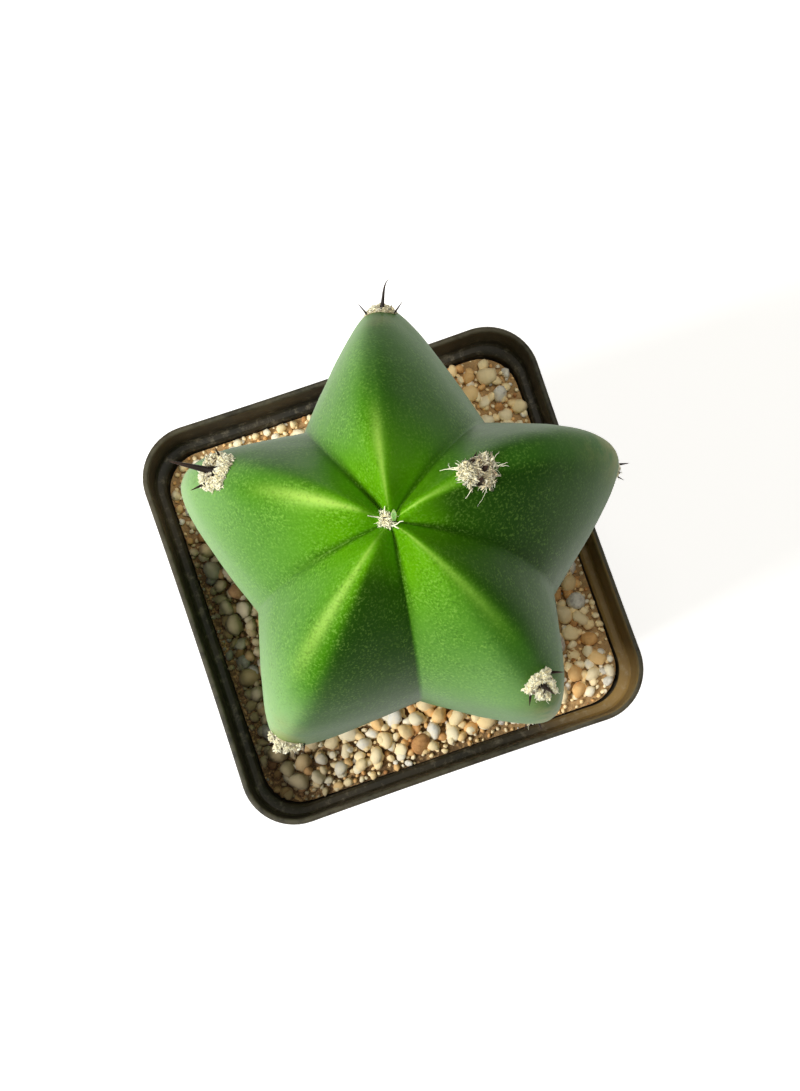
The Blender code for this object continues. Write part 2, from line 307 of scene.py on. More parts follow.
class Rule(Graph):
    """A Geometry Nodes tree with named inputs, which ends in Realize Instances and Set Material."""

    def __init__(self, name: str) -> None:
        """An empty tree with a geometry input, a geometry output and a material input.

        Args:
            name: the tree's name.
        """
        super().__init__(bpy.data.node_groups.new(name, "GeometryNodeTree"))
        sockets = self.tree.interface
        sockets.new_socket("Geometry", in_out="INPUT", socket_type="NodeSocketGeometry")
        sockets.new_socket("Geometry", in_out="OUTPUT", socket_type="NodeSocketGeometry")
        sockets.new_socket("Material", in_out="INPUT", socket_type="NodeSocketMaterial")
        self.entry = self.tree.nodes.new("NodeGroupInput")
        self.source = Field(self, self.entry.outputs["Geometry"])

    def size(self, name: str, default: float, whole: bool = False) -> Field:
        """A named input of the tree.

        Args:
            name: what the modifier shows.
            default: its value unless the modifier sets another.
            whole: whether it is a whole number.

        Returns:
            The input as a field.
        """
        kind = "NodeSocketInt" if whole else "NodeSocketFloat"
        socket = self.tree.interface.new_socket(name, in_out="INPUT", socket_type=kind)
        socket.default_value = default
        return Field(self, self.entry.outputs[name])

    def sizes(self, given: object) -> object:
        """A copy of a dataclass of sizes in which every number is a named input of the tree.

        Args:
            given: the dataclass.

        Returns:
            The copy, with a field for each number.
        """
        inputs = {}
        for item in fields(given):
            value = getattr(given, item.name)
            label = item.name.replace("_", " ").title()
            inputs[item.name] = self.size(label, value, isinstance(value, int))
        return replace(given, **inputs)

    def attribute(self, name: str) -> Field:
        """A number stored on the geometry."""
        return self.value("GeometryNodeInputNamedAttribute", "Attribute", {"Name": name})

    def store(self, geometry: Field, name: str, value: Field, domain: str = "POINT") -> Field:
        """The geometry with a number stored on it."""
        inputs = {"Geometry": geometry, "Name": name, "Value": value}
        return self.value("GeometryNodeStoreNamedAttribute", "Geometry", inputs, domain=domain)

    def vector(self, x: Number, y: Number, z: Number) -> Field:
        """Three numbers as a vector."""
        return self.value("ShaderNodeCombineXYZ", "Vector", {"X": x, "Y": y, "Z": z})

    def random(self, low: Number, high: Number, seed: Number, kind: str = "FLOAT") -> Field:
        """A seeded random number, whole number or vector for each element."""
        inputs = {"Min": low, "Max": high, "Seed": seed}
        return self.value("FunctionNodeRandomValue", "Value", inputs, data_type=kind)

    def change(self, kind: str, geometry: Field, **inputs: object) -> Field:
        """Geometry sent through a node that changes it; underscores stand for spaces."""
        named = {label.replace("_", " "): value for label, value in inputs.items()}
        return self.value(f"GeometryNode{kind}", "Geometry", {"Geometry": geometry, **named})

    def instance(self, geometry: Field) -> Field:
        """Geometry as one instance."""
        return self.value("GeometryNodeGeometryToInstance", "Instances", {"Geometry": geometry})

    def sweep(self, curve: Field, sides: Number, girth: Field) -> Field:
        """A closed tube along a curve.

        Args:
            curve: the curve.
            sides: the number of sides of its section.
            girth: its radius along the curve.

        Returns:
            The tube's mesh.
        """
        section = {"Resolution": sides, "Radius": 1.0}
        circle = self.value("GeometryNodeCurvePrimitiveCircle", "Curve", section)
        inputs = {"Curve": curve, "Profile Curve": circle, "Scale": girth, "Fill Caps": True}
        return self.value("GeometryNodeCurveToMesh", "Mesh", inputs)

    def place_any(
        self, variants: Sequence[Field], seed: Number, tone_seed: Number, **inputs: object
    ) -> Field:
        """A random one of several shapes on each point, with a random tone stored on it.

        Args:
            variants: the shapes, each an instance.
            seed, tone_seed: pick the shape and the tone.
            inputs: values for the placing node, by name.

        Returns:
            The instances.
        """
        shapes = self.node("GeometryNodeJoinGeometry")
        for variant in variants:
            self.tree.links.new(variant.socket, shapes.inputs[0])
        named = {
            "Instance": Field(self, shapes.outputs[0]),
            "Pick Instance": True,
            "Instance Index": self.random(0, len(variants) - 1, seed, "INT"),
            **inputs,
        }
        placed = self.value("GeometryNodeInstanceOnPoints", "Instances", named)
        return self.store(placed, "tone", self.random(0.0, 1.0, tone_seed), domain="INSTANCE")

    def close(self, geometry: Field) -> None:
        """End the tree: instances are realised and the material is set.

        Args:
            geometry: what the tree has made.
        """
        realised = self.change("RealizeInstances", geometry)
        dressed = self.change("SetMaterial", realised, Material=self.entry.outputs["Material"])
        self.node("NodeGroupOutput", {"Geometry": dressed})

    def run(self, name: str, seed_mesh: Mesh, material: Material, **values: float) -> Object:
        """Run the tree once and keep the plain mesh that it makes.

        Args:
            name: the new piece's name.
            seed_mesh: the mesh that the tree starts from.
            material: the piece's material.
            values: other values for named inputs; underscores stand for spaces.

        Returns:
            An object with the realised mesh and no modifier.
        """
        piece = new_object(name, seed_mesh)
        modifier = piece.modifiers.new(self.tree.name, "NODES")
        modifier.node_group = self.tree
        wanted = {label.replace("_", " ").title(): value for label, value in values.items()}
        wanted["Material"] = material
        for item in self.tree.interface.items_tree:
            if item.in_out == "INPUT" and item.name in wanted:
                modifier[item.identifier] = wanted.pop(item.name)
        if wanted:
            raise ValueError(f"{self.tree.name} has no input named {sorted(wanted)}")
        bpy.context.view_layer.update()
        evaluated = piece.evaluated_get(bpy.context.evaluated_depsgraph_get())
        made = bpy.data.meshes.new_from_object(evaluated)
        piece.modifiers.remove(modifier)
        piece.data = made
        made.name = name
        return piece


def new_object(name: str, mesh: Mesh) -> Object:
    """An object for a mesh, linked to the scene.

    Args:
        name: its name.
        mesh: its mesh.

    Returns:
        The object.
    """
    obj = bpy.data.objects.new(name, mesh)
    bpy.context.scene.collection.objects.link(obj)
    return obj


def mesh_from(
    name: str,
    points: Array,
    faces: Sequence[Sequence[int]] = (),
    edges: Sequence[Sequence[int]] = (),
    **numbers: Array,
) -> Mesh:
    """A mesh with numbers stored on its points.

    Args:
        name: the mesh's name.
        points: an array of one row a point.
        faces: corner indices of each face.
        edges: end indices of each loose edge.
        numbers: one array for each attribute, by name.

    Returns:
        The new mesh.
    """
    mesh = bpy.data.meshes.new(name)
    mesh.from_pydata(*([tuple(row) for row in rows] for rows in (points, edges, faces)))
    for label, values in numbers.items():
        attribute = mesh.attributes.new(label, "FLOAT", "POINT")
        attribute.data.foreach_set("value", np.asarray(values, dtype=np.float32).ravel())
    return mesh


def at_height(flat: Array, height: float) -> Array:
    """Flat points raised to a height."""
    return np.column_stack([flat, np.full(len(flat), height)])


def band(near: int, far: int, columns: int) -> list[tuple[int, int, int, int]]:
    """The quads between two closed rows of points that start at the indices near and far."""
    sides = [(column, (column + 1) % columns) for column in range(columns)]
    return [(near + here, near + beside, far + beside, far + here) for here, beside in sides]


def loft(
    name: str, rings: Array, first_pole: Sequence[float], last_pole: Sequence[float]
) -> Mesh:
    """A closed skin over rings of equal count with a point at either end.

    Args:
        name: the mesh's name.
        rings: an array of shape (rings, columns, 3), anticlockwise seen from the last pole's side.
        first_pole: the point before the first ring.
        last_pole: the point after the last ring.

    Returns:
        The mesh, with its faces pointing outwards.
    """
    count, columns = rings.shape[:2]
    points = np.vstack([rings.reshape(-1, 3), first_pole, last_pole])
    first, last = len(points) - 2, len(points) - 1
    faces: Faces = []
    for column in range(columns):
        beside = (column + 1) % columns
        faces.append((first, beside, column))
        for ring in range(count - 1):
            low, high = ring * columns, (ring + 1) * columns
            faces.append((low + column, low + beside, high + beside, high + column))
        top = (count - 1) * columns
        faces.append((top + column, top + beside, last))
    mesh = mesh_from(name, points, faces)
    face_outwards(mesh)
    return mesh


def face_outwards(mesh: Mesh) -> None:
    """Turn a closed mesh's faces so that they all point out.

    Args:
        mesh: the mesh, which is changed in place.
    """
    bm = bmesh.new()
    bm.from_mesh(mesh)
    bmesh.ops.recalc_face_normals(bm, faces=bm.faces)
    if bm.calc_volume(signed=True) < 0:
        bmesh.ops.reverse_faces(bm, faces=bm.faces)
    bm.to_mesh(mesh)
    bm.free()


def shade(obj: Object, sharp_above: float | None = None) -> None:
    """Shade a piece smooth.

    Args:
        obj: the piece.
        sharp_above: the angle in degrees above which an edge stays sharp.
    """
    obj.data.shade_smooth()
    if sharp_above is not None:
        obj.data.set_sharp_from_angle(angle=math.radians(sharp_above))


def mount(obj: Object, slot: str, *nodes: str) -> None:
    """Fix a piece to the body and report it.

    Args:
        obj: the finished piece.
        slot: the record's material slot; not used.
        nodes: the CAD nodes that it replaces.
    """
    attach(obj, BODY)
    if nodes:
        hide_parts(*nodes)
    triangles = sum(len(face.vertices) - 2 for face in obj.data.polygons)
    LOG.info("%s: %d triangles", obj.name, triangles)


@dataclass(frozen=True)
class PotPlastic:
    """Thin moulded plastic, brownish black, satin and dusty; paler along the lip, partly with wear and
    partly as a painted highlight, and with painted light on the inner walls of one side.
    """

    dark: Colour = srgb(30, 28, 20)
    brown: Colour = srgb(58, 50, 34)
    # A paler brown for the painted light on the inner walls of one side.
    faded: Colour = srgb(150, 120, 66)
    # The lip's colour where it is rubbed, which also stands in for a painted highlight along it.
    worn: Colour = srgb(92, 88, 70)
    mineral: Colour = srgb(150, 140, 118)
    rim_height: float = 0.072
    grit_top: float = 0.0625
    band_foot: float = 0.0630
    inner_half: float = 0.0369
    inner_corner: float = 0.0086

    def material(self) -> Material:
        """Build the material.

        Returns:
            The material.
        """
        shader = Shader("pot_plastic")
        across, along, height = shader.split(shader.place)
        core = self.inner_half - self.inner_corner
        out_x, out_y = (np.maximum(np.absolute(offset) - core, 0.0) for offset in (across, along))
        overhang = from_axis(out_x, out_y) - self.inner_corner
        inside = 1.0 - smoothstep(0.1 * MM, 0.4 * MM, overhang)
        inside = inside * smoothstep(self.band_foot, self.band_foot + 0.8 * MM, height)
        patches = shader.noise(16 * MM, 4.0, 0.6)
        grain = shader.noise(0.35 * MM, 3.0, 0.6)
        dust = smoothstep(0.52, 0.74, shader.noise(5 * MM, 6.0, 0.7))
        lip = smoothstep(self.rim_height - 0.9 * MM, self.rim_height - 0.1 * MM, height)
        # Paler spots along the lip: partly wear, partly a painted highlight.
        worn = lip * smoothstep(0.30, 0.62, shader.noise(2.2 * MM, 5.0, 0.65)) * 0.50
        splash = smoothstep(0.50, 0.72, shader.noise(1.5 * MM, 5.0, 0.7))
        line = bell(height - (self.grit_top + 2.5 * MM), 4.0 * MM)
        # Painted light: the inner walls towards +x and -y are paler.
        painted_light_wall = inside * smoothstep(12 * MM, 32 * MM, across)
        painted_light_wall = painted_light_wall * (1.0 - smoothstep(-8 * MM, 16 * MM, along))
        base = shader.layered(
            self.dark,
            (smoothstep(0.35, 0.7, patches), self.brown),
            (painted_light_wall * (0.45 + patches * 0.5), self.faded),
            (dust * 0.16, self.mineral),
            (line * splash * 0.35, self.mineral),
            (worn, self.worn),
        )
        return shader.surface(
            Base_Color=base,
            Roughness=0.50 + patches * 0.14 + dust * 0.18,
            Normal=shader.bump(grain * 0.7 + shader.noise(3 * MM) * 0.3, 0.06 * MM, 0.6),
            Specular_IOR_Level=0.3,
        )


@dataclass(frozen=True)
class BedSoil:
    """The fine stuff between the stones, dark and moist, and lighter towards +x and +y, where light is
    painted in.
    """

    dark: Colour = srgb(96, 72, 44)
    light: Colour = srgb(204, 166, 114)

    def material(self) -> Material:
        """Build the material.

        Returns:
            The material.
        """
        shader = Shader("bed_soil")
        crumbs = shader.noise(0.9 * MM, 5.0, 0.7)
        across, along, _ = shader.split(shader.place)
        # Painted light: the soil is lighter towards +x and +y.
        painted_light_soil = np.maximum(smoothstep(-5 * MM, 20 * MM, across), smoothstep(10 * MM, 25 * MM, along))
        base = shader.layered(
            self.dark, (smoothstep(0.45, 0.7, crumbs), self.light), (painted_light_soil * 0.55, self.light)
        )
        return shader.surface(Base_Color=base, Roughness=0.95, Normal=shader.bump(crumbs, 0.5 * MM))


@dataclass(frozen=True)
class GritStone:
    """Crushed stones of mixed kinds, with painted shade on the side away from the light."""

    stops: tuple[tuple[float, Colour], ...] = (
        (0.00, srgb(176, 122, 72)),
        (0.10, srgb(232, 180, 114)),
        (0.24, srgb(253, 214, 150)),
        (0.42, srgb(255, 234, 184)),
        (0.58, srgb(255, 232, 182)),
        (0.84, srgb(255, 242, 206)),
        (0.95, srgb(240, 236, 224)),
        (1.00, srgb(190, 184, 172)),
    )
    vein: Colour = srgb(112, 80, 48)
    # The dark colour of the painted shade on the stones.
    damp: Colour = srgb(48, 36, 26)

    def material(self) -> Material:
        """Build the material.

        Returns:
            The material.
        """
        shader = Shader("grit_stone")
        tone = shader.attribute("tone")
        across, along, _ = shader.split(shader.place)
        # Painted shade: the stones are darker towards -x, except where y is large.
        damp = 1.0 - smoothstep(-30 * MM, -12 * MM, across)
        damp = damp * (1.0 - smoothstep(12 * MM, 24 * MM, along))
        veins = shader.noise(1.1 * MM, 5.0, 0.65)
        grain = shader.noise(0.22 * MM, 4.0, 0.7)
        base = shader.layered(
            shader.ramp(tone + (veins - 0.5) * 0.22, self.stops),
            (smoothstep(0.58, 0.76, grain) * 0.35, self.vein),
            (damp * 0.72, self.damp),
        )
        return shader.surface(
            Base_Color=base,
            Roughness=0.72 + grain * 0.2,
            Normal=shader.bump(grain * 0.45 + veins * 0.55, 0.22 * MM, 0.9),
        )


@dataclass(frozen=True)
class StemSkin:
    """Smooth waxy skin: bright where it is young, with a pale bloom further out, and painted light and
    shade: a lit and a shadowed green by facing, painted highlights on the crests and painted shade in the
    furrows and on some flanks.
    """

    # The first two greens are a lit and a shadowed copy of the skin's green, mixed by which way the skin
    # faces: painted light and painted shade.
    adult: Colour = srgb(78, 132, 40)
    shaded: Colour = srgb(46, 92, 22)
    young: Colour = srgb(90, 156, 1)
    # A shadowed copy of the young green: painted shade.
    young_painted_shade: Colour = srgb(84, 152, 2)
    # Painted shade for the flanks that face away from the light.
    deep: Colour = srgb(18, 50, 5)
    tongue: Colour = srgb(62, 126, 2)
    # Painted highlight along the crests.
    ridge: Colour = srgb(180, 220, 98)
    bloom: Colour = srgb(152, 190, 132)
    # Painted shade in the furrows; the dark specks take the same colour.
    crease: Colour = srgb(18, 56, 2)
    speck: Colour = srgb(160, 208, 96)
    cork: Colour = srgb(140, 132, 76)

    def material(self) -> Material:
        """Build the material.

        Returns:
            The material.
        """
        shader = Shader("stem_skin")
        names = ("young", "tongue", "ridge", "bloom", "crease", "cork", "sunny", "deep")
        young, tongue, ridge, bloom, crease, cork, sunny, deep = map(shader.attribute, names)
        clouds = shader.noise(7 * MM, 4.0, 0.6)
        fine = shader.noise(0.5 * MM, 4.0, 0.65)
        mottle = shader.noise(0.40 * MM, 2.0, 0.6)
        patchy = smoothstep(0.35, 0.65, shader.noise(5 * MM, 3.0, 0.6))
        pores = shader.specks(0.80 * MM, 0.20)
        # The specks show more where light is painted in.
        plain = (1.0 - bloom * 0.6) * (0.55 + sunny * 0.45)
        pale_dots = smoothstep(0.50, 0.68, mottle) * plain
        dark_dots = (1.0 - smoothstep(0.32, 0.50, mottle)) * plain
        base = shader.layered(
            # A lit and a shadowed copy of the green, mixed by the painted light mark: painted light and
            # painted shade.
            self.shaded,
            (sunny, self.adult),
            # The bloom is laid on mostly where light is painted in, and the bright streak shows more
            # there.
            (bloom * (clouds * 0.12 + sunny * 0.62), self.bloom),
            (tongue * (0.50 + sunny * 0.42), self.tongue),
            # The young green, too, comes in a lit and a shadowed copy, mixed by the painted light mark.
            (np.minimum(1.0, young * 1.3) * 0.95, shader.mix(sunny, self.young_painted_shade, self.young)),
            # Painted shade on the flanks away from the light, set rib by rib.
            (deep * (1.0 - bloom * 0.55) * 0.84, self.deep),
            # Painted highlight along the crests, and a painted highlight spot near the apex.
            (ridge * (0.12 + sunny * 0.30), self.ridge),
            # Painted shade in the furrows, strongest near the apex.
            (crease * 0.70, self.crease),
            (cork * smoothstep(0.35, 0.65, clouds) * 0.7, self.cork),
            (pale_dots * (0.12 + patchy * 0.16), self.speck),
            # Dark specks, in the colour of the painted furrow shade.
            (dark_dots * (0.14 + patchy * 0.24), self.crease),
            (pores * smoothstep(0.50, 0.65, fine) * 0.16, self.speck),
        )
        return shader.surface(
            Base_Color=base,
            Roughness=0.40 + clouds * 0.08 + bloom * 0.10,
            Specular_IOR_Level=0.18,
            Specular_Tint=(0.65, 1.0, 0.20, 1.0),
            Normal=shader.bump(fine * 0.5 + mottle * 0.5, 0.06 * MM, 0.60),
            Subsurface_Weight=0.12,
            Subsurface_Radius=(0.8, 1.0, 0.25),
            Subsurface_Scale=1.2 * MM,
            Coat_Weight=0.02,
            Coat_Roughness=0.25,
        )


@dataclass(frozen=True)
class Wool:
    """Cream wool fibres, some of them tan, with painted shade in dark blotches where the felt is bare."""

    name: str
    pale: Colour
    tan: Colour
    shadow: Colour

    def material(self) -> Material:
        """Build the material.

        Returns:
            The material.
        """
        shader = Shader(self.name)
        tone = shader.attribute("tone")
        # age holds how bare the felt is, not how old.
        age = shader.attribute("age")
        blotch = shader.noise(0.6 * MM, 3.0, 0.6)
        base = shader.layered(
            self.pale,
            (smoothstep(0.35, 1.0, tone), self.tan),
            # Painted shade: dark blotches where the felt is bare.
            (smoothstep(0.30, 0.60, blotch) * age, self.shadow),
        )
        return shader.surface(
            Base_Color=base,
            Roughness=0.85,
            Subsurface_Weight=0.15,
            Subsurface_Radius=(1.0, 0.9, 0.7),
            Subsurface_Scale=0.3 * MM,
            Sheen_Weight=0.25,
            Sheen_Roughness=0.5,
            Normal=shader.bump(shader.noise(0.15 * MM), 0.04 * MM, 0.6),
        )


@dataclass(frozen=True)
class SpineHorn:
    """Near-black brown horn, a little redder and clearer at its tips."""

    dark: Colour = srgb(20, 12, 7)
    warm: Colour = srgb(74, 46, 30)

    def material(self) -> Material:
        """Build the material.

        Returns:
            The material.
        """
        shader = Shader("spine_horn")
        streaks = shader.noise(0.4 * MM, 4.0, 0.6)
        tip = shader.attribute("tip")
        base = shader.mix(smoothstep(0.5, 0.8, streaks) * 0.4 + tip * 0.5, self.dark, self.warm)
        return shader.surface(
            Base_Color=base,
            Roughness=0.48 + streaks * 0.15,
            Specular_IOR_Level=0.3,
            Normal=shader.bump(streaks, 0.03 * MM, 0.6),
        )


@dataclass(frozen=True)
class BudGreen:
    """The newest scale at the apex, pale green with a lighter edge."""

    inner: Colour = srgb(118, 170, 84)
    edge: Colour = srgb(196, 222, 150)

    def material(self) -> Material:
        """Build the material.

        Returns:
            The material.
        """
        shader = Shader("bud_green")
        base = shader.mix(shader.attribute("edge"), self.inner, self.edge)
        return shader.surface(
            Base_Color=base,
            Roughness=0.5,
            Subsurface_Weight=0.2,
            Subsurface_Scale=0.5 * MM,
            Normal=shader.bump(shader.noise(0.3 * MM), 0.03 * MM),
        )


@dataclass(frozen=True)
class PaleFloor:
    """The plain floor that the pot stands on."""

    colour: Colour = (0.94, 0.94, 0.94, 1.0)
    glow: float = 0.60

    def material(self) -> Material:
        """Build the material.

        Returns:
            The material.
        """
        return Shader("pale_floor").surface(
            Base_Color=self.colour, Roughness=0.8, Emission_Color=self.colour, Emission_Strength=self.glow
        )


@dataclass(frozen=True)
class PotSizes:
    """The pot's driving sizes, as in the solids."""

    side: float = 0.076
    height: float = 0.072
    foot_side: float = 0.054
    wall: float = 0.0011
    floor: float = 0.0024
    band_height: float = 0.009
    band_step: float = 0.0012
    band_draft: float = 0.0005
    corner: float = 0.0097
    grit_depth: float = 0.0095
    gap: float = 0.0003

    @property
    def grit_top(self) -> float:
        """The height of the grit's surface."""
        return self.height - self.grit_depth

    def body_half(self, height: float) -> float:
        """Half the width of the tapered body at a height."""
        foot = self.foot_side / 2
        return foot + (self.side / 2 - self.band_step - foot) * height / self.height

    @property
    def body_corner(self) -> float:
        """The radius of the body's corners, outside."""
        return self.corner - self.band_step


def rounded_square_reach(azimuth: Array, half: float, corner: float) -> Array:
    """The distance from the middle of a rounded square to its outline in a direction.

    Args:
        azimuth: directions in radians.
        half: half the square's width.
        corner: the radius of its corners.

    Returns:
        One distance for each direction.
    """
    across = np.abs(np.cos(azimuth))
    along = np.abs(np.sin(azimuth))
    straight = half / np.maximum(across, along)
    centre = half - corner
    middle = centre * (across + along)
    root = np.sqrt(np.maximum(0.0, middle**2 - 2 * centre**2 + corner**2))
    in_corner = straight * np.minimum(across, along) > centre
    return np.where(in_corner, middle + root, straight)


@dataclass
class NurseryPot:
    """The square pot: a thin tapered shell with a band, a rounded lip, an inner step and drains."""

    sizes: PotSizes = field(default_factory=PotSizes)
    corner_steps: int = 14
    side_steps: int = 10
    lip_steps: int = 5
    lip_radius: float = 0.00045
    edge_radius: float = 0.0007
    wall_rows: int = 12
    bevel: float = 0.0004
    band_bevel: float = 0.0003
    band_root: float = 0.0002
    foot_fillet: float = 0.0008
    first_row: float = 0.002
    below_rim: float = 0.004
    floor_middle: float = 0.008
    side_bow: float = 0.00022
    channel_width: float = 0.009
    channel_depth: float = 0.0012
    channel_start: float = 0.008
    slot_height: float = 0.005
    slot_length: float = 0.007
    hole_radius: float = 0.0025
    hole_offset: float = 0.016
    hole_sides: int = 32

    def ring(self, half: float, corner: float, height: float) -> Array:
        """One rounded square of points, anticlockwise, its sides bowed in a little near the rim.

        Args:
            half: half the square's width.
            corner: the radius of its corners.
            height: the height of its points.

        Returns:
            One point a row.
        """
        centre = half - corner
        points = []
        for quarter in range(4):
            start = quarter * math.pi / 2
            turn = np.array([[math.cos(start), -math.sin(start)], [math.sin(start), math.cos(start)]])
            bow = self.side_bow * height / self.sizes.height
            for step in range(self.side_steps):
                along = step / self.side_steps * 2 - 1
                pulled = half - bow * (1 - along * along)
                points.append(turn @ np.array([pulled, along * centre]))
            for step in range(self.corner_steps):
                angle = step / self.corner_steps * math.pi / 2
                arc = np.array([centre + corner * math.cos(angle), centre + corner * math.sin(angle)])
                points.append(turn @ arc)
        return at_height(np.array(points), height)

    def rounded_edge(
        self, half: float, height: float, radius: float, start: float, end: float
    ) -> list[Span]:
        """(half width, height) along an arc whose angles run from start to end, in degrees."""
        angles = np.radians(np.linspace(start, end, self.lip_steps + 1))
        return [(half + radius * math.cos(a), height + radius * math.sin(a)) for a in angles]

    def section(self) -> list[Span]:
        """(half width, height) from the underside up the outside, over the lip and down the inside.

        Returns:
            The section's points in order.
        """
        pot = self.sizes
        wall_top = pot.height - pot.band_height
        step = wall_top + pot.wall
        below_rim = pot.height - self.below_rim
        rim = pot.side / 2
        inner = rim - pot.wall
        edge, lip, bevel = self.edge_radius, self.lip_radius, self.bevel
        outside = np.linspace(self.first_row, wall_top - bevel, self.wall_rows)
        inside = np.linspace(step - bevel, pot.floor + self.foot_fillet, self.wall_rows)
        return [
            (pot.body_half(0) * 0.5, 0.0),
            *self.rounded_edge(pot.body_half(0) - edge, edge, edge, -90, 0),
            *((pot.body_half(height), height) for height in outside),
            (pot.body_half(wall_top) + self.band_root, wall_top),
            (rim - pot.band_draft - self.band_bevel, wall_top),
            (rim - pot.band_draft, wall_top + self.band_bevel),
            (rim - pot.band_draft / 2, below_rim),
            *self.rounded_edge(rim - lip, pot.height - lip, lip, 0, 90),
            *self.rounded_edge(inner + lip, pot.height - lip, lip, 90, 180),
            (inner - pot.band_draft / 2, below_rim),
            (inner - pot.band_draft, step + bevel),
            (inner - pot.band_draft - bevel, step),
            (pot.body_half(step) - pot.wall + bevel, step),
            *((pot.body_half(height) - pot.wall, height) for height in inside),
            (pot.body_half(pot.floor) - pot.wall - self.foot_fillet, pot.floor),
            (self.floor_middle, pot.floor),
        ]

    def shell(self) -> Object:
        """The moulded shell before its drains are cut.

        Returns:
            The shell, closed all round.
        """
        pot = self.sizes
        rings = []
        for half, height in self.section():
            corner = pot.corner - max(0.0, pot.side / 2 - half)
            if height < pot.height - pot.band_height:
                corner = pot.body_corner - max(0.0, pot.body_half(height) - half)
            rings.append(self.ring(half, max(corner, half * 0.2), height))
        mesh = loft("nursery_pot", np.array(rings), (0, 0, 0), (0, 0, pot.floor))
        return new_object("nursery_pot", mesh)

    def cutters(self) -> list[Object]:
        """Drain channels and slots under each side, and the four holes between them.

        Returns:
            Objects that are cut out of the shell.
        """
        pieces = []
        foot = self.sizes.foot_side / 2
        reach = foot + self.slot_length
        half = self.channel_width / 2
        depth, inset = self.channel_depth, half - self.sizes.gap
        for side in range(4):
            turn = Matrix.Rotation(side * math.pi / 2, 4, "Z")
            blocks = (
                ((self.channel_start, -half, -depth), (reach, half, depth)),
                ((foot - self.slot_length, -inset, -self.slot_height), (reach, inset, self.slot_height)),
            )
            for low, high in blocks:
                bm = bmesh.new()
                bmesh.ops.create_cube(bm, size=1.0)
                size = Vector(high) - Vector(low)
                middle = (Vector(high) + Vector(low)) / 2
                bm.transform(turn @ Matrix.Translation(middle) @ Matrix.Diagonal((*size, 1.0)))
                pieces.append(self.cutter(bm))
            bm = bmesh.new()
            bmesh.ops.create_cone(
                bm,
                cap_ends=True,
                segments=self.hole_sides,
                radius1=self.hole_radius,
                radius2=self.hole_radius,
                depth=4 * self.sizes.floor,
                matrix=turn @ Matrix.Translation((self.hole_offset, self.hole_offset, 0)),
            )
            pieces.append(self.cutter(bm))
        return pieces

    @staticmethod
    def cutter(bm: bmesh.types.BMesh) -> Object:
        """An object that is only cut with.

        Args:
            bm: its mesh, which is freed.

        Returns:
            The object.
        """
        mesh = bpy.data.meshes.new("drain_cutter")
        bm.to_mesh(mesh)
        bm.free()
        return new_object("drain_cutter", mesh)

    def build(self) -> Object:
        """Make the pot and dress it.

        Returns:
            The finished piece, which replaces the pot's solid.
        """
        pot = self.shell()
        cutters = self.cutters()
        for cutter in cutters:
            modifier = pot.modifiers.new("drain", "BOOLEAN")
            modifier.operation = "DIFFERENCE"
            modifier.object = cutter
        bpy.context.view_layer.update()
        cut = bpy.data.meshes.new_from_object(pot.evaluated_get(bpy.context.evaluated_depsgraph_get()))
        pot.modifiers.clear()
        pot.data = cut
        for cutter in cutters:
            bpy.data.objects.remove(cutter, do_unlink=True)
        cut.materials.clear()
        plastic = PotPlastic(rim_height=self.sizes.height, grit_top=self.sizes.grit_top)
        cut.materials.append(plastic.material())
        shade(pot, 38.0)
        mount(pot, "pot", "pot")
        return pot


@dataclass(frozen=True)
class Rib:
    """One rib and the furrow that follows it anticlockwise: azimuths in degrees, radii in metres.

    tongue is the drop at which the bright streak along the crest has faded. The two numbers after it
    say how strongly painted shade darkens the flanks before and after the crest, from 0 to 1; the next
    is the strength of a painted highlight spot on the crest near the growing point, and aside is how
    far the painted highlights lie to the crest's anticlockwise side, as a share of the flank.
    """

    crest_shoulder: float
    crest_apex: float
    crest_radius: float
    furrow_shoulder: float
    furrow_apex: float
    furrow_radius: float
    tongue: float
    deep_before: float = 0.0
    deep_after: float = 0.0
    gleam: float = 0.0
    aside: float = 0.0


@dataclass(frozen=True)
class Spine:
    """One spine of an areole, in millimetres and slopes.

    down and aside place its foot from the areole's middle, down the crest and to its anticlockwise
    side; the leans tilt it the same two ways, as slopes from the outward direction. bend and hook
    carry its tip down and aside, as shares of its length, and flare widens its foot.
    """

    down: float
    aside: float
    lean_down: float
    lean_aside: float
    length: float
    radius: float
    bend: float = 0.0
    hook: float = 0.0
    flare: float = 0.0


@dataclass(frozen=True)
class Lobe:
    """One pad of felt of an areole, in millimetres: its middle, its half widths and its height.

    bare is the share of it that has no fibres; there the felt is painted dark brown in blotches, as
    shade.
    """

    down: float
    aside: float
    along: float
    across: float
    rise: float
    bare: float = 0.0


@dataclass(frozen=True)
class Wisp:
    """One long hair on the skin, from start to end, in millimetres from the areole's middle."""

    start: Span
    end: Span
    girth: float = 0.10


@dataclass(frozen=True)
class HairStyle:
    """Loose hairs: length and girth in millimetres, wandering, outward slope and darkest tone."""

    length: Span
    girth: Span
    curl: float
    rise: Span
    darkest: float


@dataclass(frozen=True)
class Habit:
    """What an areole of one kind carries.

    fibre is the length of its wool fibres in millimetres, and hairs the number of its loose hairs.
    """

    lobes: tuple[Lobe, ...]
    spines: tuple[Spine, ...]
    wisps: tuple[Wisp, ...] = ()
    fibre: float = 1.0
    hairs: int = 14


@dataclass(frozen=True)
class Areole:
    """One areole: its rib, its drop and what it carries."""

    rib: int
    drop: float
    habit: Habit


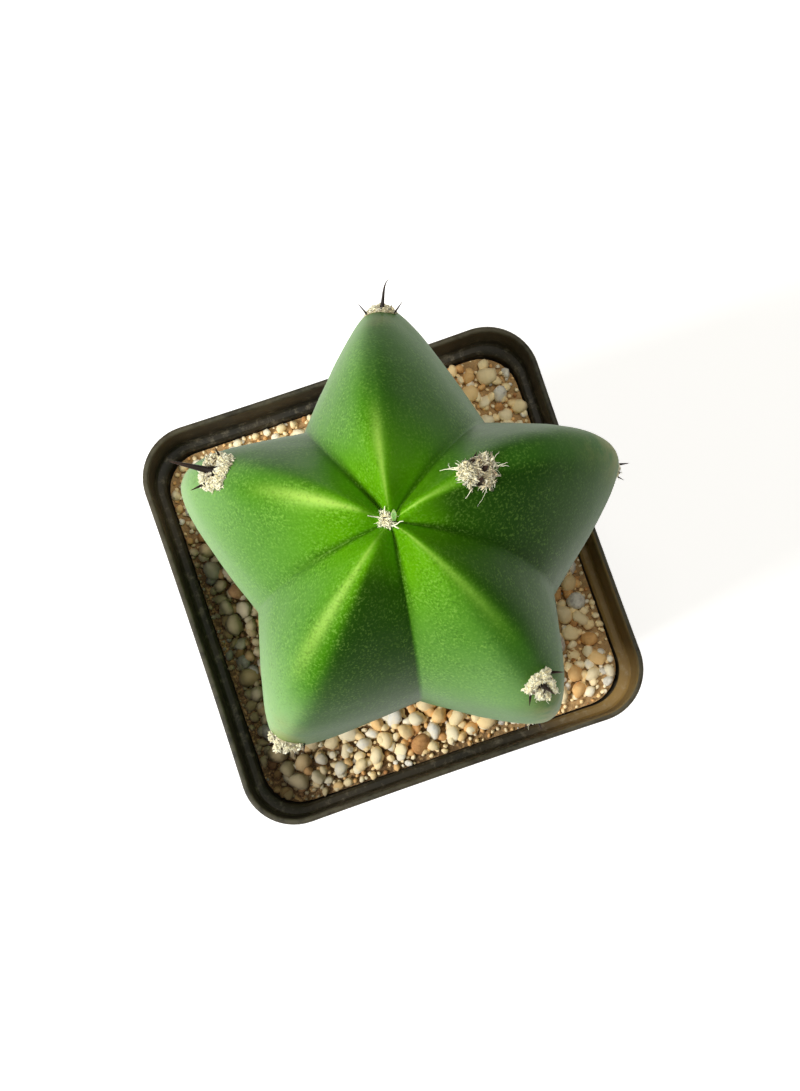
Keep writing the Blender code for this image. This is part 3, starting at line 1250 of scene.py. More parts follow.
@dataclass(frozen=True)
class StemSizes:
    """The stem's sizes. Heights are measured down from the top of its rib crests, and called drops."""

    top: Number = 0.146
    foot: Number = 0.0445
    grit_top: Number = 0.0625
    dome_height: Number = 0.032
    furrow_dome_height: Number = 0.028
    apex_dip: Number = 0.0036
    apex_dip_radius: Number = 0.0034
    crest_taper: Number = 0.30
    furrow_taper: Number = 0.22
    taper_power: Number = 1.8
    flank_power_at_apex: Number = 1.40
    flank_power_at_shoulder: Number = 1.10
    rounding_at_apex: Number = 0.72
    rounding_at_shoulder: Number = 0.24
    chin_height: Number = 0.0009
    chin_length: Number = 0.0050
    chin_centre: Number = 0.7


class StemForm:
    """The rule that gives the stem's skin, for numbers, arrays and fields alike."""

    def __init__(
        self,
        sizes: StemSizes,
        areoles: Sequence[Areole],
        look_up: Callable[[str, Number], Number],
    ) -> None:
        """Keep what the rule works from.

        Args:
            sizes: numbers, or fields of the same names.
            areoles: the areoles, whose chins swell the crests.
            look_up: gives a named value of the rib with a number.
        """
        self.sizes = sizes
        self.areoles = areoles
        self.look_up = look_up

    def chin(self, rib: Number, drop: Number) -> Number:
        """How far a crest swells below each of its areoles.

        Args:
            rib: the rib's number.
            drop: the height below the crests' top.

        Returns:
            The swelling in metres.
        """
        swell = 0.0
        for areole in self.areoles:
            same_rib = np.maximum(0.0, 1.0 - np.absolute(rib - float(areole.rib)))
            below = (drop - areole.drop) / self.sizes.chin_length - self.sizes.chin_centre
            swell = swell + same_rib * bell(below, 1.0)
        return swell * self.sizes.chin_height

    def profile(self, drop: Number, line: str, rib: Number, taper: Number) -> Place:
        """(reach, azimuth, climb) of a crest or furrow; climb is 1 at the apex and 0 below the dome.

        Args:
            drop: the height below the crests' top.
            line: "crest", "before" or "after".
            rib: the rib's number.
            taper: the share of its reach that it loses down to the grit.

        Returns:
            Its reach, azimuth and climb.
        """
        parts = ("shoulder", "apex", "radius")
        shoulder, apex, radius = (self.look_up(f"{line}_{part}", rib) for part in parts)
        climb = np.maximum(0.0, 1.0 - drop / self.sizes.dome_height)
        column = self.sizes.top - self.sizes.dome_height - self.sizes.grit_top
        down = np.maximum(0.0, (drop - self.sizes.dome_height) / column)
        reach = radius * np.sqrt(1.0 - climb * climb) * (1.0 - taper * down**self.sizes.taper_power)
        return reach, shoulder + (apex - shoulder) * climb * climb, climb

    def crest(self, rib: Number, drop: Number) -> Place:
        """A point of a rib's crest line.

        Args:
            rib: the rib's number.
            drop: the height below the crests' top.

        Returns:
            Its x, y and z.
        """
        reach, azimuth, _ = self.profile(drop, "crest", rib, self.sizes.crest_taper)
        height = self.sizes.top - drop - self.sizes.apex_dip * bell(reach, self.sizes.apex_dip_radius)
        swollen = np.minimum(1.0, reach / self.look_up("crest_radius", rib))
        reach = reach + self.chin(rib, drop) * swollen
        return reach * np.cos(azimuth), reach * np.sin(azimuth), height

    def furrow(self, line: str, rib: Number, drop: Number) -> Place:
        """A point of the furrow before or after a rib.

        Args:
            line: "before" or "after".
            rib: the rib's number.
            drop: the height below the crests' top.

        Returns:
            Its x, y and z.
        """
        reach, azimuth, climb = self.profile(drop, line, rib, self.sizes.furrow_taper)
        below = np.maximum(drop, self.sizes.dome_height)
        height = self.sizes.top - below + self.sizes.furrow_dome_height * climb
        return reach * np.cos(azimuth), reach * np.sin(azimuth), height

    def depth(self, across: Number, drop: Number) -> Number:
        """How far a rib has fallen from crest to furrow, 0 to 1; across runs from -1 to 1.

        Args:
            across: -1 and 1 at the rib's furrows, 0 at its crest.
            drop: the height below the crests' top.

        Returns:
            0 at the crest and 1 in the furrows.
        """
        climb = np.maximum(0.0, 1.0 - drop / self.sizes.dome_height)

        def eased(name: str) -> Number:
            """A size at this drop, from its values at the shoulder and the apex."""
            low, high = (getattr(self.sizes, f"{name}_at_{where}") for where in ("shoulder", "apex"))
            return low + (high - low) * (climb * climb)

        rounding, power = eased("rounding"), eased("flank_power")
        square = rounding * rounding
        fallen = np.sqrt(across * across + square) - rounding
        return (fallen / (np.sqrt(square + 1.0) - rounding)) ** power

    def skin(self, rib: Number, drop: Number, across: Number) -> Place:
        """A point of the skin: across is -1 and 1 at a rib's furrows and 0 at its crest.

        Args:
            rib: the rib's number.
            drop: the height below the crests' top.
            across: -1 and 1 at the rib's furrows, 0 at its crest.

        Returns:
            Its x, y and z.
        """
        crest = self.crest(rib, drop)
        before = self.furrow("before", rib, drop)
        after = self.furrow("after", rib, drop)
        depth = self.depth(across, drop)
        return tuple(
            c + ((b + a) / 2.0 - c) * depth + (a - b) / 2.0 * across
            for c, b, a in zip(crest, before, after)
        )


@dataclass(frozen=True)
class SkinMarks:
    """Where the skin is young, bright, pale or corky, and where painted highlights and painted shade go.

    Reaches from the stem's axis are in metres, widths are shares of a flank, and fades are shares
    of the drop at which a rib's bright streak ends.
    """

    young_reach: Span = (0.002, 0.022)
    tongue_width: float = 0.24
    tongue_shift: float = 0.13
    tongue_fade: Span = (0.45, 1.2)
    # The painted highlight along the crest and the painted highlight spot near the apex.
    ridge_width: float = 0.13
    ridge_fade: Span = (0.2, 0.9)
    gleam_reach: float = 0.0115
    gleam_length: float = 0.0050
    gleam_width: float = 0.24
    bloom_reach: Span = (0.020, 0.040)
    # The painted shade in the furrows: its width, and how it fades away from the apex.
    crease_width: float = 0.10
    crease_reach: Span = (0.006, 0.022)
    crease_loss: float = 0.85
    cork_reach: Span = (0.030, 0.040)
    cork_width: float = 0.25
    # Where the painted shade on a rib's flanks starts and how it fades.
    painted_shade_turn: Span = (-0.15, 0.15)
    painted_shade_width: Span = (0.05, 0.35)
    painted_shade_reach: Span = (0.003, 0.011)

    def measure(
        self, reach: Field, drop: Field, across: Field, rib: dict[str, Field]
    ) -> dict[str, Field]:
        """The marks as fields from 0 to 1.

        Args:
            reach: distance from the stem's axis.
            drop: height below the crests' top.
            across: -1 and 1 in the furrows, 0 on the crest.
            rib: the rib's own values, by name.

        Returns:
            Each mark by name.
        """
        off_crest = np.absolute(across)
        faded = drop / rib["tongue"]
        beside = across - rib["aside"]
        tongue = bell(across - self.tongue_shift, self.tongue_width)
        tongue = tongue * (1.0 - smoothstep(*self.tongue_fade, faded))
        # Painted highlight: a line along the crest and a spot near the apex, set a little to one side of
        # it.
        ridge = bell(beside, self.ridge_width) * (1.0 - smoothstep(*self.ridge_fade, faded))
        painted_gleam_patch = bell(beside, self.gleam_width) * bell(reach - self.gleam_reach, self.gleam_length)
        # Painted shade in the furrows.
        crease = smoothstep(1.0 - self.crease_width, 1.0, off_crest)
        # Painted shade on one flank or the other, as each rib sets it.
        side = smoothstep(*self.painted_shade_turn, across)
        deep = rib["deep_before"] * (1.0 - side) + rib["deep_after"] * side
        return {
            "young": 1.0 - smoothstep(*self.young_reach, reach),
            "tongue": tongue,
            "ridge": ridge + painted_gleam_patch * rib["gleam"],
            "bloom": smoothstep(*self.bloom_reach, reach) * (1.0 - tongue),
            "crease": crease * (1.0 - smoothstep(*self.crease_reach, reach) * self.crease_loss),
            "cork": smoothstep(*self.cork_reach, reach) * bell(across, self.cork_width),
            "deep": deep * smoothstep(*self.painted_shade_width, off_crest) * smoothstep(*self.painted_shade_reach, reach),
        }


@dataclass
class Stem:
    """The ribbed stem, drawn by one rule over a grid of columns and rings."""

    ribs: tuple[Rib, ...]
    areoles: tuple[Areole, ...]
    sizes: StemSizes = field(default_factory=StemSizes)
    marks: SkinMarks = field(default_factory=SkinMarks)
    columns_per_rib: int = 56
    dome_rings: int = 96
    column_rings: int = 56
    ring_crowding: float = 1.15
    column_crowding: float = 0.5
    waviness: float = 0.00022
    wave_size: float = 0.011
    wave_reach: Span = (0.002, 0.008)
    merge_distance: float = 4e-7
    # The direction of the painted light on the skin, and the range of facing over which it goes from
    # shade to light.
    painted_light_way: Triple = (-0.76, 0.06, 0.65)
    sunny_facing: Span = (0.24, 0.84)
    lay_rounds: int = 12
    lay_probe: float = 1e-3
    lay_turn_limit: float = 0.15
    lay_across_limit: float = 0.2
    least_turn: float = 0.02
    most_across: float = 0.9
    mark_names: tuple[str, ...] = ("tongue", "deep_before", "deep_after", "gleam", "aside")

    def table(self) -> dict[str, Array]:
        """Each rib's values by name, with those of the furrows at its sides, angles in radians.

        Returns:
            An array for each name, with a number for each rib.
        """
        rows = []
        for index, rib in enumerate(self.ribs):
            row = {}
            previous = self.ribs[index - 1]
            lines = (("crest", "crest", rib), ("before", "furrow", previous), ("after", "furrow", rib))
            for line, kind, owner in lines:
                row[f"{line}_shoulder"] = math.radians(getattr(owner, f"{kind}_shoulder"))
                row[f"{line}_apex"] = math.radians(getattr(owner, f"{kind}_apex"))
                row[f"{line}_radius"] = getattr(owner, f"{kind}_radius")
            for name in self.mark_names:
                row[name] = getattr(rib, name)
            rows.append(row)
        return {name: np.array([row[name] for row in rows]) for name in rows[0]}

    def form(self) -> StemForm:
        """The rule for numbers and arrays."""
        table = self.table()
        return StemForm(self.sizes, self.areoles, lambda name, rib: table[name][rib])

    def point(self, rib: int, drop: float, across: float = 0.0) -> Vector:
        """One point of the skin."""
        return Vector(float(value) for value in self.form().skin(rib, drop, across))

    def drop_at(self, turn: Array) -> Array:
        """The drop after a turn down the dome, in radians; past a quarter turn it goes on evenly."""
        quarter, dome = math.pi / 2, self.sizes.dome_height
        return dome * (1.0 - np.cos(np.clip(turn, 0.0, quarter)) + np.maximum(0.0, turn - quarter))

    def lay(self, areole: Areole, down: Array, aside: Array, lift: Array) -> Array:
        """Points that lie on the skin round an areole.

        Args:
            areole: the areole.
            down, aside: places in the areole's own plane, in metres.
            lift: heights above the skin, along the areole's outward direction.

        Returns:
            One point a row.
        """
        centre, outward, down_way, side_way = map(np.array, self.frame_at(areole))
        form = self.form()
        domes = areole.drop / self.sizes.dome_height
        start = math.acos(1.0 - domes) if domes < 1.0 else math.pi / 2 + (domes - 1.0)
        turn, across = np.full(down.shape, start), np.zeros(down.shape)
        step = self.lay_probe

        def place(turn: Array, across: Array) -> Array:
            """The skin's points at turns down the dome and places across the rib."""
            return np.stack(form.skin(areole.rib, self.drop_at(turn), across), axis=-1)

        def limit(values: Array, most: float) -> Array:
            """Values kept within a limit either way."""
            return np.clip(values, -most, most)

        for _ in range(self.lay_rounds):
            here = place(turn, across)
            by_turn = (place(turn + step, across) - here) / step
            by_across = (place(turn, across + step) - here) / step
            miss_down = down - (here - centre) @ down_way
            miss_side = aside - (here - centre) @ side_way
            a, b = by_turn @ down_way, by_across @ down_way
            c, d = by_turn @ side_way, by_across @ side_way
            scale = a * d - b * c
            turned = limit((miss_down * d - miss_side * b) / scale, self.lay_turn_limit)
            moved = limit((miss_side * a - miss_down * c) / scale, self.lay_across_limit)
            turn = np.maximum(self.least_turn, turn + turned)
            across = limit(across + moved, self.most_across)
        return place(turn, across) + lift[..., None] * outward

    def frame_at(self, areole: Areole) -> tuple[Vector, Vector, Vector, Vector]:
        """The skin's point at an areole, and the ways outward, down the crest and anticlockwise.

        Args:
            areole: the areole.

        Returns:
            The point and the three directions.
        """
        rib, drop = areole.rib, areole.drop
        step = 0.0003
        beside = 0.05
        down = (self.point(rib, drop + step) - self.point(rib, max(drop - step, 0.0))).normalized()
        side = self.point(rib, drop, beside) - self.point(rib, drop, -beside)
        outward = down.cross(side).normalized()
        return self.point(rib, drop), outward, down, outward.cross(down)

    def outline(self, height: float, clearance: float) -> Array:
        """The stem's outline at a height, anticlockwise, pushed outwards by a clearance.

        Args:
            height: the height above the ground.
            clearance: how far it is pushed.

        Returns:
            One flat point a row.
        """
        across = np.linspace(-1.0, 1.0, self.columns_per_rib, endpoint=False)
        form, drop = self.form(), self.sizes.top - height
        skins = [form.skin(rib, drop, across) for rib in range(len(self.ribs))]
        ring = np.vstack([np.column_stack([x, y]) for x, y, _ in skins])
        reach = np.linalg.norm(ring, axis=1, keepdims=True)
        return ring * (1 + clearance / reach)

    def rule(self) -> Rule:
        """The tree that draws the skin from the rib table on its input's points.

        Returns:
            The finished tree.
        """
        rule = Rule("ribbed_stem")
        sizes = rule.sizes(self.sizes)
        columns = rule.size("Columns", self.columns_per_rib * len(self.ribs), whole=True)
        dome_rings = rule.size("Dome Rings", self.dome_rings, whole=True)
        column_rings = rule.size("Column Rings", self.column_rings, whole=True)
        waviness = rule.size("Waviness", self.waviness)
        wave_size = rule.size("Wave Size", self.wave_size)
        rings = dome_rings + column_rings + 1.0
        spread = {"Size X": 1.0, "Size Y": 1.0, "Vertices X": columns + 1.0, "Vertices Y": rings + 1.0}
        geometry = rule.value("GeometryNodeMeshGrid", "Mesh", spread)
        place = rule.value("GeometryNodeInputPosition", "Position")
        grid_x, grid_y, _ = rule.split(place)
        along = (grid_x + 0.5) * float(len(self.ribs))
        row = (grid_y + 0.5) * rings
        rib = np.minimum(float(len(self.ribs) - 1), np.floor(along + 1e-4))
        even = (along - rib) * 2.0 - 1.0
        across = even - np.sin(even * math.tau) * (self.column_crowding / math.tau)
        angle = np.minimum(1.0, row / dome_rings) ** self.ring_crowding * (math.pi / 2)
        column = sizes.top - sizes.dome_height - sizes.foot
        below = np.minimum(1.0, np.maximum(0.0, (row - dome_rings) / column_rings))
        drop = sizes.dome_height * (1.0 - np.cos(angle)) + column * below

        def look_up(name: str, index: Field) -> Field:
            """A value from the rib table, by name and number."""
            inputs = {"Geometry": rule.source, "Value": rule.attribute(name), "Index": index}
            return rule.value("GeometryNodeSampleIndex", "Value", inputs)

        x, y, z = StemForm(sizes, self.areoles, look_up).skin(rib, drop, across)
        reach = from_axis(x, y)
        at_foot = np.maximum(0.0, row - dome_rings - column_rings)
        at_apex = np.maximum(0.0, 1.0 - row)
        z = z + (sizes.top - sizes.apex_dip - z) * at_apex
        open_share = 1.0 - at_foot
        of_rib = {name: look_up(name, rib) for name in self.mark_names}
        for name, value in self.marks.measure(reach, drop, across, of_rib).items():
            geometry = rule.store(geometry, name, value)
        position = rule.vector(x * open_share, y * open_share, z)
        geometry = rule.change("SetPosition", geometry, Position=position)
        geometry = rule.change("MergeByDistance", geometry, Distance=self.merge_distance)
        geometry = rule.value("GeometryNodeFlipFaces", "Mesh", {"Mesh": geometry})
        wave_inputs = {"Vector": place, "Scale": 1.0 / wave_size, "Detail": 2.0}
        wave = rule.value("ShaderNodeTexNoise", "Fac", wave_inputs) - 0.5
        calm = smoothstep(*self.wave_reach, from_axis(*rule.split(place)[:2])) * waviness * 2.0
        normal = rule.value("GeometryNodeInputNormal", "Normal")
        geometry = rule.change("SetPosition", geometry, Offset=rule.scale(normal, wave * calm))
        # Painted light: how much each point faces the fixed light direction, stored for the skin to paint
        # lit and shadowed greens.
        turned = {0: normal, 1: self.painted_light_way}
        facing = rule.value("ShaderNodeVectorMath", "Value", turned, operation="DOT_PRODUCT")
        rule.close(rule.store(geometry, "sunny", smoothstep(*self.sunny_facing, facing)))
        return rule

    def build(self) -> Object:
        """Make the skin, which replaces the cactus's solid, and dress it.

        Returns:
            The finished piece.
        """
        table = mesh_from("rib_table", np.zeros((len(self.ribs), 3)), **self.table())
        stem = self.rule().run("stem_skin", table, StemSkin().material())
        shade(stem)
        mount(stem, "cactus", "cactus")
        return stem


@dataclass(frozen=True)
class StoneGrade:
    """One size of stone: radii and spacing in metres, and how high its stones ride."""

    name: str
    smallest: float
    largest: float
    spacing: float
    lift: float
    detail: int
    seed: int


@dataclass
class GritFilling:
    """The pot's filling: a bed with a plain hole for the stem, and three grades of stones on it."""

    pot: PotSizes
    stem: Stem
    clearance: float = 0.0006
    top_rows: int = 14
    unevenness: float = 0.0006
    lump_size: float = 0.004
    hole_rows: int = 6
    hole_lip: float = 0.003
    hole_slack: float = 0.0003
    seeding_rows: int = 16
    densest: float = 4e6
    stone_core: float = 0.62
    lump_level: float = 0.3
    lump_depth: float = 0.95
    crowding: float = 1.50
    too_small: float = 0.55
    variants: int = 9
    grades: tuple[StoneGrade, ...] = (
        StoneGrade("grit_stones", 0.0018, 0.0027, 0.0031, 0.35, 2, 11),
        StoneGrade("grit_chips", 0.0011, 0.0016, 0.0019, 0.45, 2, 23),
        StoneGrade("grit_grains", 0.0005, 0.0008, 0.0010, 0.50, 1, 37),
    )

    def wall_ring(self, ring: Array, height: float) -> Array:
        """The grit's outer outline at a height, in the directions of the ring's points.

        Args:
            ring: points whose directions are taken.
            height: the height.

        Returns:
            One flat point a row.
        """
        inset = self.pot.wall + self.pot.gap
        azimuth = np.arctan2(ring[:, 1], ring[:, 0])
        half = self.pot.body_half(height) - inset
        reach = rounded_square_reach(azimuth, half, self.pot.body_corner - inset)
        return np.column_stack([reach * np.cos(azimuth), reach * np.sin(azimuth)])

    def bed(self) -> Object:
        """The bed: floor, outer wall, uneven top and the hole's wall and floor.

        Returns:
            The bed as a closed piece.
        """
        top, low = self.pot.grit_top, self.pot.floor + self.pot.gap
        inner = self.stem.outline(top, self.clearance)
        rows = [at_height(self.wall_ring(inner, low) * share, low) for share in (0.5, 1.0)]
        outer = self.wall_ring(inner, top)
        for row in range(self.top_rows + 1):
            share = row / self.top_rows
            flat = outer * (1 - share) + inner * share
            rough = [noise.noise(Vector((x, y, 0.0)) / self.lump_size) for x, y in flat]
            height = top + np.array(rough) * self.unevenness * math.sin(math.pi * share)
            rows.append(np.column_stack([flat, height]))
        foot = float(self.stem.sizes.foot) - self.hole_slack
        for height in np.linspace(top - self.hole_lip, foot, self.hole_rows):
            rows.append(at_height(self.stem.outline(height, self.clearance), height))
        mesh = loft("grit_bed", np.array(rows), (0, 0, low), (0, 0, foot))
        mesh.materials.append(BedSoil().material())
        return new_object("grit_bed", mesh)

    def seeding_surface(self) -> Mesh:
        """The grit's flat top, with the room that each place has before the wall or the stem.

        Returns:
            The surface, with the room stored on its points.
        """
        top = self.pot.grit_top
        inner = self.stem.outline(top, self.clearance)
        outer = self.wall_ring(inner, top)
        rows, columns = self.seeding_rows, len(inner)
        shares = np.linspace(0.0, 1.0, rows)
        flat = np.vstack([outer * (1 - share) + inner * share for share in shares])
        edges = np.vstack([outer, inner])
        room = np.array([np.min(np.linalg.norm(edges - place, axis=1)) for place in flat])
        starts = range(0, (rows - 1) * columns, columns)
        faces = [face for near in starts for face in band(near, near + columns, columns)]
        return mesh_from("seeding_surface", at_height(flat, top), faces, room=room)

    def rule(self, detail: int) -> Rule:
        """The tree that scatters stones over the seeding surface; detail is their subdivisions.

        Args:
            detail: the subdivisions of each stone.

        Returns:
            The finished tree.
        """
        rule = Rule(f"scattered_stones_{detail}")
        smallest = rule.size("Smallest", 0.001)
        largest = rule.size("Largest", 0.002)
        spacing = rule.size("Spacing", 0.002)
        lift = rule.size("Lift", 0.3)
        seed = rule.size("Seed", 1, whole=True)
        scatter = rule.node(
            "GeometryNodeDistributePointsOnFaces",
            {"Mesh": rule.source, "Distance Min": spacing, "Density Max": self.densest, "Seed": seed},
            distribute_method="POISSON",
        )
        radius = rule.random(smallest, largest, seed + 1.0)
        radius = np.minimum(radius, rule.attribute("room") * self.crowding)
        bounds = {"A": radius, "B": smallest * self.too_small}
        stones = rule.place_any(
            [self.stone(rule, detail, variant) for variant in range(self.variants)],
            seed + 3.0,
            seed + 4.0,
            Points=scatter.outputs["Points"],
            Selection=rule.value("FunctionNodeCompare", "Result", bounds, operation="GREATER_THAN"),
            Rotation=rule.random((0.0,) * 3, (math.tau,) * 3, seed + 2.0, "FLOAT_VECTOR"),
            Scale=rule.vector(radius, radius, radius),
        )
        rise = rule.vector(0.0, 0.0, radius * lift)
        inputs = {"Instances": stones, "Translation": rise, "Local Space": False}
        lifted = rule.value("GeometryNodeTranslateInstances", "Instances", inputs)
        rule.close(rule.change("SetShadeSmooth", rule.change("RealizeInstances", lifted)))
        return rule

    def stone(self, rule: Rule, detail: int, variant: int) -> Field:
        """One uneven stone of unit radius, as an instance.

        Args:
            rule: the tree that it is in.
            detail: its subdivisions.
            variant: picks its shape.

        Returns:
            The instance.
        """
        ball = rule.value("GeometryNodeMeshIcoSphere", "Mesh", {"Radius": 1.0, "Subdivisions": detail})
        place = rule.value("GeometryNodeInputPosition", "Position")
        noise_inputs = {"Vector": place, "W": variant * 3.7, "Scale": 0.9, "Detail": 2.0}
        lumps = rule.value("ShaderNodeTexNoise", "Fac", noise_inputs, noise_dimensions="4D")
        swell = self.stone_core + (lumps - self.lump_level) * self.lump_depth
        squash = (1.0, 0.74 + 0.05 * (variant % 4), 0.62 + 0.06 * (variant % 5))
        pressed = {0: rule.scale(place, swell), 1: squash}
        shaped = rule.value("ShaderNodeVectorMath", "Vector", pressed, operation="MULTIPLY")
        return rule.instance(rule.change("SetPosition", ball, Position=shaped))

    def build(self) -> list[Object]:
        """Make the bed and its stones and dress them.

        Returns:
            The finished pieces, which together replace the grit's solid.
        """
        bed = self.bed()
        shade(bed, 50.0)
        mount(bed, "grit", "grit")
        pieces = [bed]
        finish = GritStone().material()
        for grade in self.grades:
            rule = self.rule(grade.detail)
            names = ("smallest", "largest", "spacing", "lift", "seed")
            values = {name: getattr(grade, name) for name in names}
            stones = rule.run(grade.name, self.seeding_surface(), finish, **values)
            mount(stones, "grit")
            pieces.append(stones)
        return pieces


class Growth(Enum):
    """The kinds of areole, from the youngest at the apex to the old ones down the ribs."""

    BUDDING = "budding"
    DAGGER = "dagger"
    SHORT = "short"
    TIP = "tip"
    HANGING = "hanging"
    OLD = "old"


HABITS: dict[Growth, Habit] = {
    Growth.BUDDING: Habit(
        lobes=(
            Lobe(0.1, 0.1, 2.5, 2.3, 0.40, 0.45),
            Lobe(-1.9, 0.3, 0.9, 1.7, 0.60),
            Lobe(1.9, 0.6, 0.9, 1.4, 0.55, 0.2),
            Lobe(0.2, -1.9, 1.3, 0.7, 0.45, 0.2),
            Lobe(0.2, 0.8, 0.9, 0.5, 0.55, 0.2),
        ),
        spines=(
            Spine(-0.2, 1.75, 0.0, 0.0, 1.9, 0.42, flare=0.2),
            Spine(0.9, -0.1, 0.0, 0.0, 2.0, 0.54, flare=0.2),
            Spine(-0.6, -1.4, 0.0, 0.0, 2.0, 0.58, flare=0.4),
            Spine(2.0, 1.0, 0.2, 0.1, 1.3, 0.24),
            Spine(0.5, 0.9, 0.0, 0.2, 1.2, 0.18),
            Spine(1.7, -0.3, 0.2, 0.0, 1.2, 0.22),
            Spine(0.7, 2.2, 0.3, 0.4, 1.1, 0.20),
        ),
        wisps=(
            Wisp((-2.7, 1.5), (-4.6, 3.0), 0.13),
            Wisp((-2.5, 1.7), (-3.5, 2.6), 0.10),
            Wisp((-3.4, 2.5), (-2.6, 3.7), 0.08),
            Wisp((-2.0, -1.9), (-3.9, -2.9), 0.10),
            Wisp((0.2, -2.8), (-1.8, -4.2), 0.04),
            Wisp((2.9, -0.5), (5.0, -0.6), 0.10),
            Wisp((3.4, -0.7), (4.7, -1.2), 0.07),
            Wisp((2.8, 0.7), (4.3, 1.2), 0.08),
            Wisp((1.4, -2.0), (1.3, -3.1), 0.12),
        ),
        fibre=1.1,
        hairs=18,
    ),
    Growth.DAGGER: Habit(
        lobes=(
            Lobe(-1.6, -0.8, 2.7, 2.7, 0.25, 0.7),
            Lobe(-0.4, -2.7, 1.5, 1.2, 1.5),
            Lobe(-1.4, 1.0, 1.4, 1.1, 1.4),
            Lobe(-3.5, -1.2, 1.0, 1.7, 0.8),
            Lobe(-3.5, 0.8, 0.8, 1.0, 0.7),
            Lobe(-2.7, -2.8, 1.1, 0.9, 0.8),
            Lobe(0.4, -0.9, 0.9, 1.5, 0.5),
        ),
        spines=(
            Spine(-1.9, -0.9, 0.52, 0.06, 7.4, 0.58, flare=1.0),
            Spine(-1.5, -2.6, -0.3, -0.6, 3.0, 0.26),
            Spine(-1.6, -0.1, 0.0, 0.9, 4.2, 0.34, 0.15),
        ),
        fibre=0.75,
        hairs=14,
    ),
    Growth.SHORT: Habit(
        lobes=(
            Lobe(-0.5, 0.3, 2.1, 2.0, 0.20, 1.0),
            Lobe(-1.6, -1.6, 0.95, 0.85, 0.80),
            Lobe(-2.5, -0.4, 0.85, 1.0, 0.90),
            Lobe(-2.1, 1.2, 0.95, 1.0, 1.05),
            Lobe(0.8, -0.8, 1.1, 0.8, 0.85),
            Lobe(1.8, -0.2, 0.7, 0.5, 0.65),
            Lobe(0.1, 1.4, 0.55, 0.45, 1.2),
            Lobe(2.2, 1.5, 0.7, 0.35, 0.55),
        ),
        spines=(
            Spine(-0.7, 2.2, -0.2, 0.7, 2.4, 0.28),
            Spine(0.1, 2.3, 0.1, -1.4, 3.2, 0.26),
            Spine(-0.7, 0.1, 0.0, 0.1, 3.3, 0.36, flare=0.7),
            Spine(-0.6, -1.5, 0.2, -0.9, 2.4, 0.26),
        ),
        fibre=0.5,
        hairs=8,
    ),
    Growth.TIP: Habit(
        lobes=(
            Lobe(0.0, -0.2, 1.9, 2.4, 0.20, 0.6),
            Lobe(-0.5, -1.1, 0.8, 1.3, 0.40),
            Lobe(-0.4, 1.1, 0.8, 1.2, 0.38),
            Lobe(1.0, -0.2, 0.9, 1.8, 0.40),
        ),
        spines=(
            Spine(-0.5, -0.2, -0.1, -0.15, 5.3, 0.30, hook=-0.12, flare=0.9),
            Spine(-0.9, 1.8, 0.3, 0.8, 2.5, 0.17),
            Spine(-0.9, -1.9, 0.3, -0.8, 2.5, 0.17),
        ),
        fibre=0.5,
        hairs=12,
    ),
    Growth.HANGING: Habit(
        lobes=(
            Lobe(0.0, 0.5, 1.5, 2.4, 0.35, 0.4),
            Lobe(0.1, 0.1, 0.8, 0.70, 1.7),
            Lobe(0.0, 1.45, 0.8, 0.55, 1.4),
            Lobe(0.1, 2.3, 0.6, 0.40, 1.3),
            Lobe(0.0, 3.0, 0.5, 0.35, 0.9),
            Lobe(0.0, -1.6, 0.6, 0.50, 0.9),
        ),
        spines=(
            Spine(0.0, 0.8, 0.1, 0.0, 2.0, 0.20),
            Spine(0.2, 2.6, 0.2, 0.2, 2.3, 0.20),
            Spine(0.3, 3.4, 0.3, 0.4, 1.6, 0.16),
            Spine(1.0, -0.6, 0.9, -0.6, 2.2, 0.20),
        ),
        fibre=0.5,
        hairs=12,
    ),
    Growth.OLD: Habit(
        lobes=(
            Lobe(0.0, 0.0, 1.9, 2.0, 0.40, 0.6),
            Lobe(-0.8, -0.7, 1.0, 1.1, 0.55, 0.2),
            Lobe(0.6, 0.9, 0.9, 0.9, 0.50, 0.2),
        ),
        spines=(
            Spine(0.0, 0.0, 0.5, -0.2, 3.2, 0.27, flare=0.6),
            Spine(0.5, 1.2, 0.8, 1.1, 2.1, 0.18),
            Spine(0.5, -1.2, 0.8, -1.1, 2.2, 0.18),
            Spine(-0.8, 0.8, -0.5, 0.9, 1.6, 0.16),
            Spine(-0.7, -0.9, -0.5, -0.8, 1.5, 0.15),
        ),
        fibre=0.7,
        hairs=8,
    ),
}


